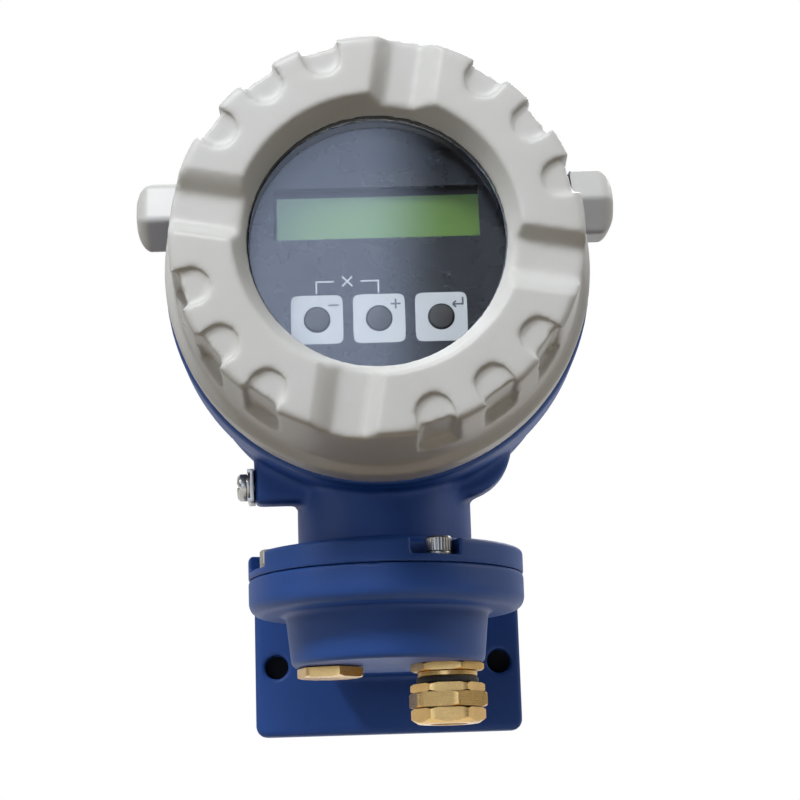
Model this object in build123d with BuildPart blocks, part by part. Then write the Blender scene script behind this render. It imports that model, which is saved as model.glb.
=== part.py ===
from build123d import *
import math
import os

# Ultrasonic flow transmitter head on a wall holder, all lengths in millimetres, angles in degrees.
# The origin is the centre of the wall plate's back face: the wall is the plane Y = 0, the display
# looks along -Y, +Z is up. The head, neck, flange and cup share one vertical axis, the neck axis.
# The drum-shaped head and its two screw covers share one horizontal axis, the head axis.

# Wall plate
plate_width = 100.0
plate_height = 52.0
plate_thickness = 8.0
plate_corner_radius = 4.0
plate_edge_chamfer = 1.0
wall_hole_diameter = 9.0
wall_hole_spacing = 84.0

# Arm between plate and cup
neck_reach = 88.0
arm_width = 46.0
arm_corner_radius = 5.0
arm_inset = 2.5

# Connection cup and its flange
cup_bottom_z = -6.8
cup_bottom_radius = 32.7
cup_top_radius = 34.4
cup_edge_chamfer = 1.0
cup_floor_thickness = 10.5
cup_cavity_radius = 27.5
flange_bottom_z = 10.5
flange_thickness = 12.0
flange_radius = 46.7
flange_lower_round = 4.0
flange_upper_chamfer = 0.6

# Clamp ring that holds the swivelling head down on the flange
clamp_ring_thickness = 8.0
clamp_ring_upper_chamfer = 1.0
clamp_lip_thickness = 2.5
clamp_collar_height = 3.0
clamp_collar_width = 3.4
clamp_collar_step_width = 1.2
clamp_collar_step_height = 1.0
clamp_collar_lip_width = 0.45
notch_first_angle = 20.4
notch_count = 4
notch_width = 17.0
notch_wall = 1.7
clamp_screw_lead = 4.2
clamp_screw_circle_radius = 41.3
clamp_screw_head_radius = 4.25
clamp_screw_head_height = 5.0
clamp_screw_shank_radius = 2.5
clamp_screw_depth = 9.0
clamp_screw_socket_width = 4.0
clamp_screw_socket_depth = 2.6
clamp_washer_thickness = 1.0

# Foot plate under the neck, and the seal it turns on
foot_radius = 33.2
foot_thickness = 3.8
foot_screw_count = 3
foot_screw_first_angle = 90.0
foot_screw_circle_radius = 22.0
foot_screw_head_radius = 3.4
foot_screw_shank_radius = 1.75
foot_screw_head_height = 2.2
foot_screw_depth = 8.0
foot_seal_circle_radius = 30.3
foot_seal_section_radius = 0.9

# Drum-shaped housing
neck_radius = 29.6
neck_bore_radius = 14.0
head_axis_z = 118.8
front_face_reach = 89.4
front_collar_radius = 70.5
front_collar_length = 24.5
barrel_radius = 66.0
rear_collar_radius = 67.0
rear_collar_length = 9.0
rear_collar_reach = 36.5
collar_edge_round = 1.0
front_compartment_radius = 58.0
rear_compartment_radius = 52.5
partition_thickness = 4.0

# Transverse rib under the drum, with the outer earth terminal on its left end
rib_half_width = 43.5
rib_depth = 1.2
rib_thickness = 10.0
rib_offset = 11.0
rib_right_corner_radius = 18.0
rib_left_corner_radius = 1.5

# Cable entries high on both sides of the housing
entry_offset = 20.0
entry_drop = 26.7
entry_boss_radius = 15.2
entry_boss_height = 6.0
entry_thread_radius = 10.0
plug_shank_length = 12.0
plug_head_length = 13.4
plug_head_flats = 24.0
plug_dome_length = 3.8
plug_dome_inset = 1.9
plug_socket_radius = 5.0
plug_socket_depth = 4.0
plug_left_turn = 0.0
plug_right_turn = 30.0
plug_seal_thickness = 1.2

# Outer earth terminal
earth_screw_rise = 6.3
earth_screw_radius = 2.5
earth_screw_depth = 9.0
earth_head_radius = 4.6
earth_head_height = 3.2
earth_head_chamfer = 0.9
earth_slot_width = 1.2
earth_slot_depth = 1.4
earth_clamp_width = 11.0
earth_clamp_thickness = 1.2
earth_clamp_lip = 2.2
spring_washer_radius = 4.3
spring_washer_thickness = 1.3
spring_washer_gap = 0.8

# Front cover: a thick screwed ring around the window
front_cover_depth = 52.5
cover_face_inner_radius = 44.8
cover_face_round = 2.2
cover_nose_radius = 64.4
cover_waist_radius = 66.2
cover_rim_radius = 69.5
cover_rim_width = 12.5
cover_rim_round = 1.2
window_chamfer_depth = 9.0
window_radius = 40.5
window_lip_depth = 10.6
cover_bore_radius = 57.0
cover_spigot_radius = 63.0
cover_spigot_length = 9.0
cover_shelf_depth = 22.0

# Grips on the cover's face: four straight slots and twelve round-ended scallops
slot_first_angle = 10.0
slot_count = 4
slot_floor_width = 10.8
slot_mouth_width = 18.0
slot_depth = 5.0
scallop_spread = 19.5
scallop_radius = 6.0
scallop_inner_reach = 53.3
scallop_depth = 3.4
scallop_wall_radius = 62.0
scallop_wall_depth = 26.0

# Window glass, its seal and the threaded ring that holds it
window_seal_thickness = 0.9
window_seal_width = 3.4
glass_radius = 44.2
glass_thickness = 6.0
retainer_outer_radius = 48.0
retainer_inner_radius = 42.0
retainer_thickness = 3.4
retainer_notch_width = 4.0
retainer_notch_count = 4

# Rear cover: blind, shallower
rear_cover_depth = 23.5
rear_cover_rim_radius = 66.0
rear_cover_rim_width = 8.0
rear_cover_waist_radius = 63.4
rear_cover_nose_radius = 61.7
rear_cover_wall = 7.0
rear_cover_bore_radius = 51.5
rear_spigot_radius = 57.5
rear_slot_inner_reach = 40.0
rear_scallop_inner_reach = 51.0
rear_scallop_wall_radius = 60.2
rear_scallop_wall_depth = 13.0

# Cover seals and threads
cover_gap = 0.4
cover_thread_clearance = 0.3
cover_seal_section_radius = 1.1
cover_groove_width = 2.8
cover_groove_depth = 2.5

# Display unit behind the window
display_depth = 24.4
display_radius = 41.3
display_panel_thickness = 2.5
display_housing_depth = 16.0
display_housing_wall = 1.2
display_housing_inset = 0.2
lcd_opening_width = 65.6
lcd_opening_height = 17.0
lcd_lift = 12.8
lcd_recess = 4.2
lcd_thickness = 2.4
lcd_frame_margin = 0.8
display_board_thickness = 1.6
key_pitch = 19.6
key_drop = 22.0
key_radius = 4.0
key_collar_radius = 5.2
key_collar_thickness = 1.2
key_proud = 0.5
key_edge_chamfer = 0.4
key_travel = 1.0
display_board_gap = 0.3
standoff_radius = 1.75
standoff_inset = 7.0
standoff_first_angle = 90.0

# Electronics behind the display
carrier_radius = 50.0
carrier_thickness = 3.0
carrier_hole_radius = 16.5
pillar_count = 3
pillar_first_angle = 60.0
pillar_circle_radius = 44.0
pillar_radius = 3.5
board_radius = 49.0
board_thickness = 1.6
shield_can_width = 40.0
shield_can_height = 30.0
shield_can_depth = 7.0
transformer_width = 26.0
transformer_height = 22.0
transformer_depth = 9.0
shield_clearance = 4.5
transformer_clearance = 5.4
power_board_gap = 12.4

# Terminals in the rear compartment
terminal_count = 7
terminal_pitch = 9.0
terminal_block_height = 22.0
terminal_block_depth = 17.0
terminal_step_depth = 7.0
terminal_screw_radius = 2.2
terminal_screw_length = 6.0
terminal_slot_width = 0.8
terminal_slot_depth = 1.0

# Terminals in the connection cup
cup_terminal_count = 4
cup_terminal_pitch = 8.0
cup_terminal_width = 13.0
cup_terminal_height = 10.0

# Entries in the floor of the cup
cup_entry_offset = 19.7
blank_plug_flats = 20.0
blank_plug_head_height = 4.5
blank_plug_turn = 12.6
blank_plug_shank_radius = 8.0
blank_plug_shank_length = 9.0
blank_plug_seal_thickness = 0.5
gland_shank_radius = 10.0
gland_shank_length = 9.0
gland_bore_radius = 6.4
gland_locknut_flats = 22.0
gland_locknut_height = 2.6
gland_locknut_turn = 10.0
gland_ring_radius = 10.1
gland_ring_height = 2.0
gland_groove_radius = 8.8
gland_seal_ring_height = 2.2
gland_seal_ring_radius = 10.5
gland_seal_ring_chamfer = 0.6
gland_entry_hex_height = 3.0
gland_body_flats = 24.0
gland_body_turn = 17.5
gland_body_height = 4.9
gland_spigot_radius = 8.6
gland_spigot_length = 3.5
gland_spigot_bore_radius = 7.4
gland_insert_radius = 7.2
gland_insert_bore_radius = 4.6
gland_insert_length = 7.5
gland_washer_thickness = 0.7
gland_washer_bore_radius = 5.2
gland_nut_flats = 22.0
gland_nut_height = 5.2
gland_nut_lip = 1.0
gland_nut_gap = 0.3
gland_nut_chamfer = 1.3

# Shapes used all over: steps in a rounded corner, sides of a seal ring's section, half a hexagon's step
corner_steps = 3
seal_section_sides = 6
flat_to_corner = 30.0

# Fits
swivel_clearance = 0.3
flat_clearance = 0.2
thread_clearance = 0.05
pocket_clearance = 0.25

# Places worked out from the sizes above
neck_y = -neck_reach
flange_top_z = flange_bottom_z + flange_thickness
clamp_ring_top_z = flange_top_z + clamp_ring_thickness
foot_bottom_z = flange_top_z + flat_clearance
neck_end_z = foot_bottom_z + foot_thickness
front_face_y = neck_y - front_face_reach
front_collar_y = front_face_y + front_cover_depth + cover_gap
rear_collar_y = neck_y + rear_collar_reach
rear_face_y = rear_collar_y + cover_gap + rear_cover_depth
display_y = front_face_y + display_depth
display_back_y = display_y + display_panel_thickness + display_housing_depth
carrier_back_y = display_back_y + carrier_thickness
amplifier_board_y = carrier_back_y + shield_clearance + shield_can_depth
power_board_y = amplifier_board_y + board_thickness + transformer_clearance + transformer_depth
partition_front_y = power_board_y + board_thickness + power_board_gap
partition_rear_y = partition_front_y + partition_thickness
drum_front_radius = max(barrel_radius, front_collar_radius)
drum_rear_radius = max(barrel_radius, rear_collar_radius)
rib_drop = drum_front_radius + rib_depth
entry_lift = drum_rear_radius - entry_drop
entry_boss_reach = drum_rear_radius + entry_boss_height

head_axis = Axis((0, neck_y, head_axis_z), (0, 1, 0))
neck_axis = Axis((0, neck_y, 0), (0, 0, 1))


def head_plane(y):
    """Plane across the head axis: local X is +X, local Y is +Z, its normal looks at the reader."""
    return Plane(origin=(0, y, head_axis_z), x_dir=(1, 0, 0), z_dir=(0, -1, 0))


def rear_plane(y):
    """Plane across the head axis with its normal towards the wall: local X is -X, local Y is +Z."""
    return Plane(origin=(0, y, head_axis_z), x_dir=(-1, 0, 0), z_dir=(0, 1, 0))


def grip_plane(angle, y, inward):
    """Plane through the head axis for a grip at an angle clockwise from the top.

    Local X runs around the ring, local Y runs from the face into the cover (inward is 1 for the
    front cover, -1 for the rear one), and the normal points outwards from the head axis.
    """
    turn = math.radians(angle)
    outward = (math.sin(turn), 0, math.cos(turn))
    around = (math.cos(turn) * inward, 0, -math.sin(turn) * inward)
    return Plane(origin=(0, y, head_axis_z), x_dir=around, z_dir=outward)


def neck_plane(z):
    """Level plane centred on the neck axis."""
    return Plane(origin=(0, neck_y, z), x_dir=(1, 0, 0), z_dir=(0, 0, 1))


def on_circle(radius, angle):
    """Point on a circle, the angle counted clockwise from the local Y axis."""
    return (radius * math.sin(math.radians(angle)), radius * math.cos(math.radians(angle)))


def head_profile(points):
    """Points given as (Y, radius) about the head axis, as a sketch face on the YZ plane."""
    return Polygon(*[(y, head_axis_z + radius) for y, radius in points], align=None)


def corner_points(round_size, radius):
    """Points (depth, radius) of the rounded rim between a flat face and the side of the given radius."""
    turns = [math.radians(90 * step / corner_steps) for step in range(corner_steps + 1)]
    return [
        (round_size * (1 - math.cos(turn)), radius - round_size * (1 - math.sin(turn))) for turn in turns
    ]


def neck_profile(points):
    """Points given as (radius, Z) about the neck axis, as a sketch face on the YZ plane."""
    return Polygon(*[(neck_y + radius, z) for radius, z in points], align=None)


slot_angles = [slot_first_angle + index * 360 / slot_count for index in range(slot_count)]
scallop_angles = [
    slot_angle + 180 / slot_count + step * scallop_spread
    for slot_angle in slot_angles
    for step in (-1, 0, 1)
]


def cut_slots(face_y, inward, inner_reach, outer_reach):
    """Cut the slanted-wall grip slots into the cover that is being built."""
    for angle in slot_angles:
        with BuildSketch(grip_plane(angle, face_y, inward).offset(inner_reach)) as slot_profile:
            Polygon(
                (-slot_mouth_width / 2, 0),
                (slot_mouth_width / 2, 0),
                (slot_floor_width / 2, slot_depth),
                (-slot_floor_width / 2, slot_depth),
                align=None,
            )
        extrude(slot_profile.sketch, amount=outer_reach - inner_reach, mode=Mode.SUBTRACT)


def cut_scallops(face_plane, inner_reach, wall_radius, wall_depth, outer_reach):
    """Cut the round-ended scallops, and the flats that they leave down the cover's side."""
    centre_reach = inner_reach + scallop_radius
    for angle in scallop_angles:
        scallop_plane = face_plane * Rotation(0, 0, -angle)
        with BuildSketch(scallop_plane) as face_scallop:
            with Locations((0, centre_reach)):
                Circle(scallop_radius)
                Rectangle(2 * scallop_radius, outer_reach - centre_reach, align=(Align.CENTER, Align.MIN))
        extrude(face_scallop.sketch, amount=-scallop_depth, mode=Mode.SUBTRACT)
        with BuildSketch(scallop_plane) as side_flat:
            with Locations((0, wall_radius)):
                Rectangle(2 * scallop_radius, outer_reach - wall_radius, align=(Align.CENTER, Align.MIN))
        extrude(side_flat.sketch, amount=-wall_depth, mode=Mode.SUBTRACT)


clamp_angles = [
    notch_first_angle + index * 360 / notch_count for index in range(notch_count)
]
clamp_screw_points = [
    on_circle(clamp_screw_circle_radius, -(angle + clamp_screw_lead) + 180) for angle in clamp_angles
]

made_parts = []


# Wall holder: plate, arm, cup and flange are one casting
arm_top_z = flange_bottom_z + flange_thickness / 2
arm_bottom_z = cup_bottom_z + arm_inset
cup_cavity_floor_z = cup_bottom_z + cup_floor_thickness
with BuildPart() as wall_holder:
    with BuildSketch(Plane(origin=(0, 0, 0), x_dir=(1, 0, 0), z_dir=(0, -1, 0))):
        RectangleRounded(plate_width, plate_height, plate_corner_radius)
    extrude(amount=plate_thickness)
    front_edges = wall_holder.faces().sort_by(Axis.Y)[0].edges()
    chamfer(front_edges, length=plate_edge_chamfer)
    with BuildSketch(Plane.YZ):
        neck_profile(
            [
                (0, cup_bottom_z),
                (cup_bottom_radius - cup_edge_chamfer, cup_bottom_z),
                (cup_bottom_radius, cup_bottom_z + cup_edge_chamfer),
                (cup_top_radius, flange_bottom_z),
            ]
            + [
                (radius, flange_bottom_z + height)
                for height, radius in corner_points(flange_lower_round, flange_radius)
            ]
            + [
                (flange_radius, flange_top_z - flange_upper_chamfer),
                (flange_radius - flange_upper_chamfer, flange_top_z),
                (0, flange_top_z),
            ]
        )
    revolve(axis=neck_axis)
    with BuildSketch(Plane.XZ.offset(plate_thickness / 2)):
        with Locations((0, (arm_top_z + arm_bottom_z) / 2)):
            RectangleRounded(arm_width, arm_top_z - arm_bottom_z, arm_corner_radius)
    extrude(amount=neck_reach - cup_cavity_radius - plate_thickness / 2)
    with BuildSketch(neck_plane(flange_top_z)):
        Circle(cup_cavity_radius)
    extrude(amount=-(flange_top_z - cup_cavity_floor_z), mode=Mode.SUBTRACT)
    with BuildSketch(neck_plane(flange_top_z)):
        Circle(foot_seal_circle_radius + foot_seal_section_radius + pocket_clearance)
        Circle(foot_seal_circle_radius - foot_seal_section_radius - pocket_clearance, mode=Mode.SUBTRACT)
    extrude(amount=-2 * foot_seal_section_radius, mode=Mode.SUBTRACT)
    with BuildSketch(neck_plane(flange_top_z)):
        with Locations(*clamp_screw_points):
            Circle(clamp_screw_shank_radius + thread_clearance)
    extrude(amount=-clamp_screw_depth, mode=Mode.SUBTRACT)
    with BuildSketch(neck_plane(cup_bottom_z)):
        with Locations((-cup_entry_offset, 0)):
            Circle(blank_plug_shank_radius + thread_clearance)
        with Locations((cup_entry_offset, 0)):
            Circle(gland_shank_radius + thread_clearance)
    extrude(amount=cup_floor_thickness, mode=Mode.SUBTRACT)
    with BuildSketch(Plane(origin=(0, 0, 0), x_dir=(1, 0, 0), z_dir=(0, -1, 0))):
        with GridLocations(wall_hole_spacing, 1, 2, 1):
            Circle(wall_hole_diameter / 2)
    extrude(amount=plate_thickness, mode=Mode.SUBTRACT)
made_parts.append(("wall_holder", wall_holder))

# Seal ring in the flange, under the foot plate
with BuildPart() as foot_seal:
    with BuildSketch(Plane.YZ):
        with Locations((neck_y + foot_seal_circle_radius, flange_top_z - foot_seal_section_radius)):
            RegularPolygon(foot_seal_section_radius, seal_section_sides, major_radius=False)
    revolve(axis=neck_axis)
made_parts.append(("foot_seal", foot_seal))

# Clamp ring around the neck, with four notches for the screws
ring_bore_radius = neck_radius + swivel_clearance
foot_pocket_radius = foot_radius + swivel_clearance
foot_pocket_top_z = neck_end_z + swivel_clearance
notch_inner_radius = foot_pocket_radius + notch_wall
with BuildPart() as clamp_ring:
    with BuildSketch(Plane.YZ):
        neck_profile(
            [
                (foot_pocket_radius, flange_top_z),
                (flange_radius, flange_top_z),
                (flange_radius, clamp_ring_top_z - clamp_ring_upper_chamfer),
                (flange_radius - clamp_ring_upper_chamfer, clamp_ring_top_z),
                (ring_bore_radius + clamp_collar_width, clamp_ring_top_z),
                (ring_bore_radius + clamp_collar_step_width, clamp_ring_top_z + clamp_collar_step_height),
                (ring_bore_radius + clamp_collar_lip_width, clamp_ring_top_z + clamp_collar_height),
                (ring_bore_radius, clamp_ring_top_z + clamp_collar_height),
                (ring_bore_radius, foot_pocket_top_z),
                (foot_pocket_radius, foot_pocket_top_z),
            ]
        )
    revolve(axis=neck_axis)
    for angle in clamp_angles:
        notch_turn = Rotation(0, 0, angle)
        with BuildSketch(neck_plane(flange_top_z + clamp_lip_thickness) * notch_turn):
            with Locations((0, -(notch_inner_radius + flange_radius) / 2)):
                Rectangle(notch_width, flange_radius - notch_inner_radius, align=Align.CENTER)
            with Locations((0, -flange_radius)):
                Rectangle(notch_width, notch_wall, align=Align.CENTER)
        extrude(amount=clamp_ring_thickness, mode=Mode.SUBTRACT)
    with BuildSketch(neck_plane(flange_top_z)):
        with Locations(*clamp_screw_points):
            Circle(clamp_screw_shank_radius + pocket_clearance)
    extrude(amount=clamp_lip_thickness, mode=Mode.SUBTRACT)
made_parts.append(("clamp_ring", clamp_ring))

# Socket-head screws and their washers in the notches
clamp_seat_z = flange_top_z + clamp_lip_thickness
clamp_head_z = clamp_seat_z + clamp_washer_thickness
with BuildPart() as clamp_screws:
    with BuildSketch(neck_plane(clamp_head_z)):
        with Locations(*clamp_screw_points):
            Circle(clamp_screw_head_radius)
    extrude(amount=clamp_screw_head_height)
    with BuildSketch(neck_plane(clamp_head_z)):
        with Locations(*clamp_screw_points):
            Circle(clamp_screw_shank_radius)
    extrude(amount=-(clamp_head_z - flange_top_z + clamp_screw_depth - flat_clearance))
    with BuildSketch(neck_plane(clamp_head_z + clamp_screw_head_height)):
        with Locations(*clamp_screw_points):
            RegularPolygon(clamp_screw_socket_width / 2, 6, major_radius=False)
    extrude(amount=-clamp_screw_socket_depth, mode=Mode.SUBTRACT)
made_parts.append(("clamp_screws", clamp_screws))

with BuildPart() as clamp_washers:
    with BuildSketch(neck_plane(clamp_seat_z)):
        with Locations(*clamp_screw_points):
            Circle(clamp_screw_head_radius)
            Circle(clamp_screw_shank_radius + pocket_clearance, mode=Mode.SUBTRACT)
    extrude(amount=clamp_washer_thickness)
made_parts.append(("clamp_washers", clamp_washers))

# Blanking plug in the left floor entry, brass, with its flat seal
blank_seat_z = cup_bottom_z - blank_plug_seal_thickness
with BuildPart() as blanking_plug:
    with BuildSketch(neck_plane(blank_seat_z)):
        with Locations((-cup_entry_offset, 0)):
            RegularPolygon(blank_plug_flats / 2, 6, major_radius=False, rotation=flat_to_corner - blank_plug_turn)
    extrude(amount=-blank_plug_head_height)
    with BuildSketch(neck_plane(blank_seat_z)):
        with Locations((-cup_entry_offset, 0)):
            Circle(blank_plug_shank_radius)
    extrude(amount=blank_plug_seal_thickness + blank_plug_shank_length)
made_parts.append(("blanking_plug", blanking_plug))

with BuildPart() as blanking_plug_seal:
    with BuildSketch(neck_plane(blank_seat_z)):
        with Locations((-cup_entry_offset, 0)):
            Circle(blank_plug_flats / 2)
            Circle(blank_plug_shank_radius + thread_clearance, mode=Mode.SUBTRACT)
    extrude(amount=blank_plug_seal_thickness)
made_parts.append(("blanking_plug_seal", blanking_plug_seal))

# Cable gland in the right floor entry, from the cup downwards
gland_ring_z = cup_bottom_z - gland_locknut_height
gland_groove_z = gland_ring_z - gland_ring_height
gland_entry_hex_z = gland_groove_z - gland_seal_ring_height
gland_body_z = gland_entry_hex_z - gland_entry_hex_height
gland_spigot_z = gland_body_z - gland_body_height
gland_nut_z = gland_spigot_z - gland_nut_gap
gland_nut_end_z = gland_nut_z - gland_nut_height
gland_nut_floor_z = gland_nut_end_z + gland_nut_lip
gland_centre = (cup_entry_offset, 0)
with BuildPart() as gland_entry:
    with BuildSketch(neck_plane(cup_bottom_z)):
        with Locations(gland_centre):
            RegularPolygon(gland_locknut_flats / 2, 6, major_radius=False, rotation=flat_to_corner - gland_locknut_turn)
    extrude(amount=-gland_locknut_height)
    with BuildSketch(neck_plane(cup_bottom_z)):
        with Locations(gland_centre):
            Circle(gland_shank_radius)
    extrude(amount=gland_shank_length)
    with BuildSketch(neck_plane(gland_ring_z)):
        with Locations(gland_centre):
            Circle(gland_ring_radius)
    extrude(amount=-gland_ring_height)
    with BuildSketch(neck_plane(gland_groove_z)):
        with Locations(gland_centre):
            Circle(gland_groove_radius)
    extrude(amount=-gland_seal_ring_height)
    with BuildSketch(neck_plane(gland_entry_hex_z)):
        with Locations(gland_centre):
            RegularPolygon(gland_nut_flats / 2, 6, major_radius=False, rotation=flat_to_corner)
    extrude(amount=-gland_entry_hex_height)
    with BuildSketch(neck_plane(gland_body_z)):
        with Locations(gland_centre):
            Circle(gland_bore_radius)
    extrude(amount=cup_bottom_z + gland_shank_length - gland_body_z, mode=Mode.SUBTRACT)
made_parts.append(("gland_entry", gland_entry))

with BuildPart() as gland_seal_ring:
    with BuildSketch(neck_plane(gland_groove_z)):
        with Locations(gland_centre):
            Circle(gland_seal_ring_radius)
            Circle(gland_groove_radius, mode=Mode.SUBTRACT)
    extrude(amount=-gland_seal_ring_height)
    outer_rims = gland_seal_ring.edges().filter_by(GeomType.CIRCLE).group_by(SortBy.RADIUS)[-1]
    chamfer(outer_rims, length=gland_seal_ring_chamfer)
made_parts.append(("gland_seal_ring", gland_seal_ring))

insert_top_z = gland_spigot_z - gland_spigot_length + gland_insert_length
with BuildPart() as gland_body:
    with BuildSketch(neck_plane(gland_body_z)):
        with Locations(gland_centre):
            RegularPolygon(gland_body_flats / 2, 6, major_radius=False, rotation=flat_to_corner - gland_body_turn)
    extrude(amount=-gland_body_height)
    with BuildSketch(neck_plane(gland_spigot_z)):
        with Locations(gland_centre):
            Circle(gland_spigot_radius)
    extrude(amount=-gland_spigot_length)
    with BuildSketch(neck_plane(gland_body_z)):
        with Locations(gland_centre):
            Circle(gland_bore_radius)
    extrude(amount=-gland_body_height, mode=Mode.SUBTRACT)
    with BuildSketch(neck_plane(insert_top_z)):
        with Locations(gland_centre):
            Circle(gland_spigot_bore_radius)
    extrude(amount=-gland_insert_length, mode=Mode.SUBTRACT)
made_parts.append(("gland_body", gland_body))

with BuildPart() as gland_insert:
    with BuildSketch(neck_plane(insert_top_z)):
        with Locations(gland_centre):
            Circle(gland_insert_radius)
            Circle(gland_insert_bore_radius, mode=Mode.SUBTRACT)
    extrude(amount=-gland_insert_length)
made_parts.append(("gland_insert", gland_insert))

washer_bottom_z = gland_nut_floor_z + thread_clearance
with BuildPart() as gland_washer:
    with BuildSketch(neck_plane(washer_bottom_z)):
        with Locations(gland_centre):
            Circle(gland_insert_radius)
            Circle(gland_washer_bore_radius, mode=Mode.SUBTRACT)
    extrude(amount=gland_washer_thickness)
made_parts.append(("gland_washer", gland_washer))

with BuildPart() as gland_nut:
    with BuildSketch(neck_plane(gland_nut_z)):
        with Locations(gland_centre):
            RegularPolygon(gland_nut_flats / 2, 6, major_radius=False, rotation=flat_to_corner)
    extrude(amount=-gland_nut_height)
    lower_edges = gland_nut.faces().sort_by(Axis.Z)[0].edges()
    chamfer(lower_edges, length=gland_nut_chamfer)
    with BuildSketch(neck_plane(gland_nut_z)):
        with Locations(gland_centre):
            Circle(gland_spigot_radius + thread_clearance)
    extrude(amount=-(gland_nut_height - gland_nut_lip), mode=Mode.SUBTRACT)
    with BuildSketch(neck_plane(gland_nut_z)):
        with Locations(gland_centre):
            Circle(gland_bore_radius)
    extrude(amount=-gland_nut_height, mode=Mode.SUBTRACT)
made_parts.append(("gland_nut", gland_nut))

# Terminal strip on the floor of the cup
cup_terminal_length = cup_terminal_count * cup_terminal_pitch + cup_terminal_pitch / 2
with BuildPart() as cup_terminals:
    with BuildSketch(neck_plane(cup_cavity_floor_z)):
        with Locations((0, cup_terminal_width)):
            Rectangle(cup_terminal_length, cup_terminal_width)
    extrude(amount=cup_terminal_height)
    with BuildSketch(neck_plane(cup_cavity_floor_z + cup_terminal_height)):
        with Locations((0, cup_terminal_width)):
            with GridLocations(cup_terminal_pitch, 1, cup_terminal_count, 1):
                Circle(terminal_screw_radius + pocket_clearance)
    extrude(amount=-terminal_screw_length, mode=Mode.SUBTRACT)
made_parts.append(("cup_terminals", cup_terminals))

with BuildPart() as cup_terminal_screws:
    with BuildSketch(neck_plane(cup_cavity_floor_z + cup_terminal_height - terminal_screw_length)):
        with Locations((0, cup_terminal_width)):
            with GridLocations(cup_terminal_pitch, 1, cup_terminal_count, 1):
                Circle(terminal_screw_radius)
    extrude(amount=terminal_screw_length - terminal_slot_depth)
made_parts.append(("cup_terminal_screws", cup_terminal_screws))

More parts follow.
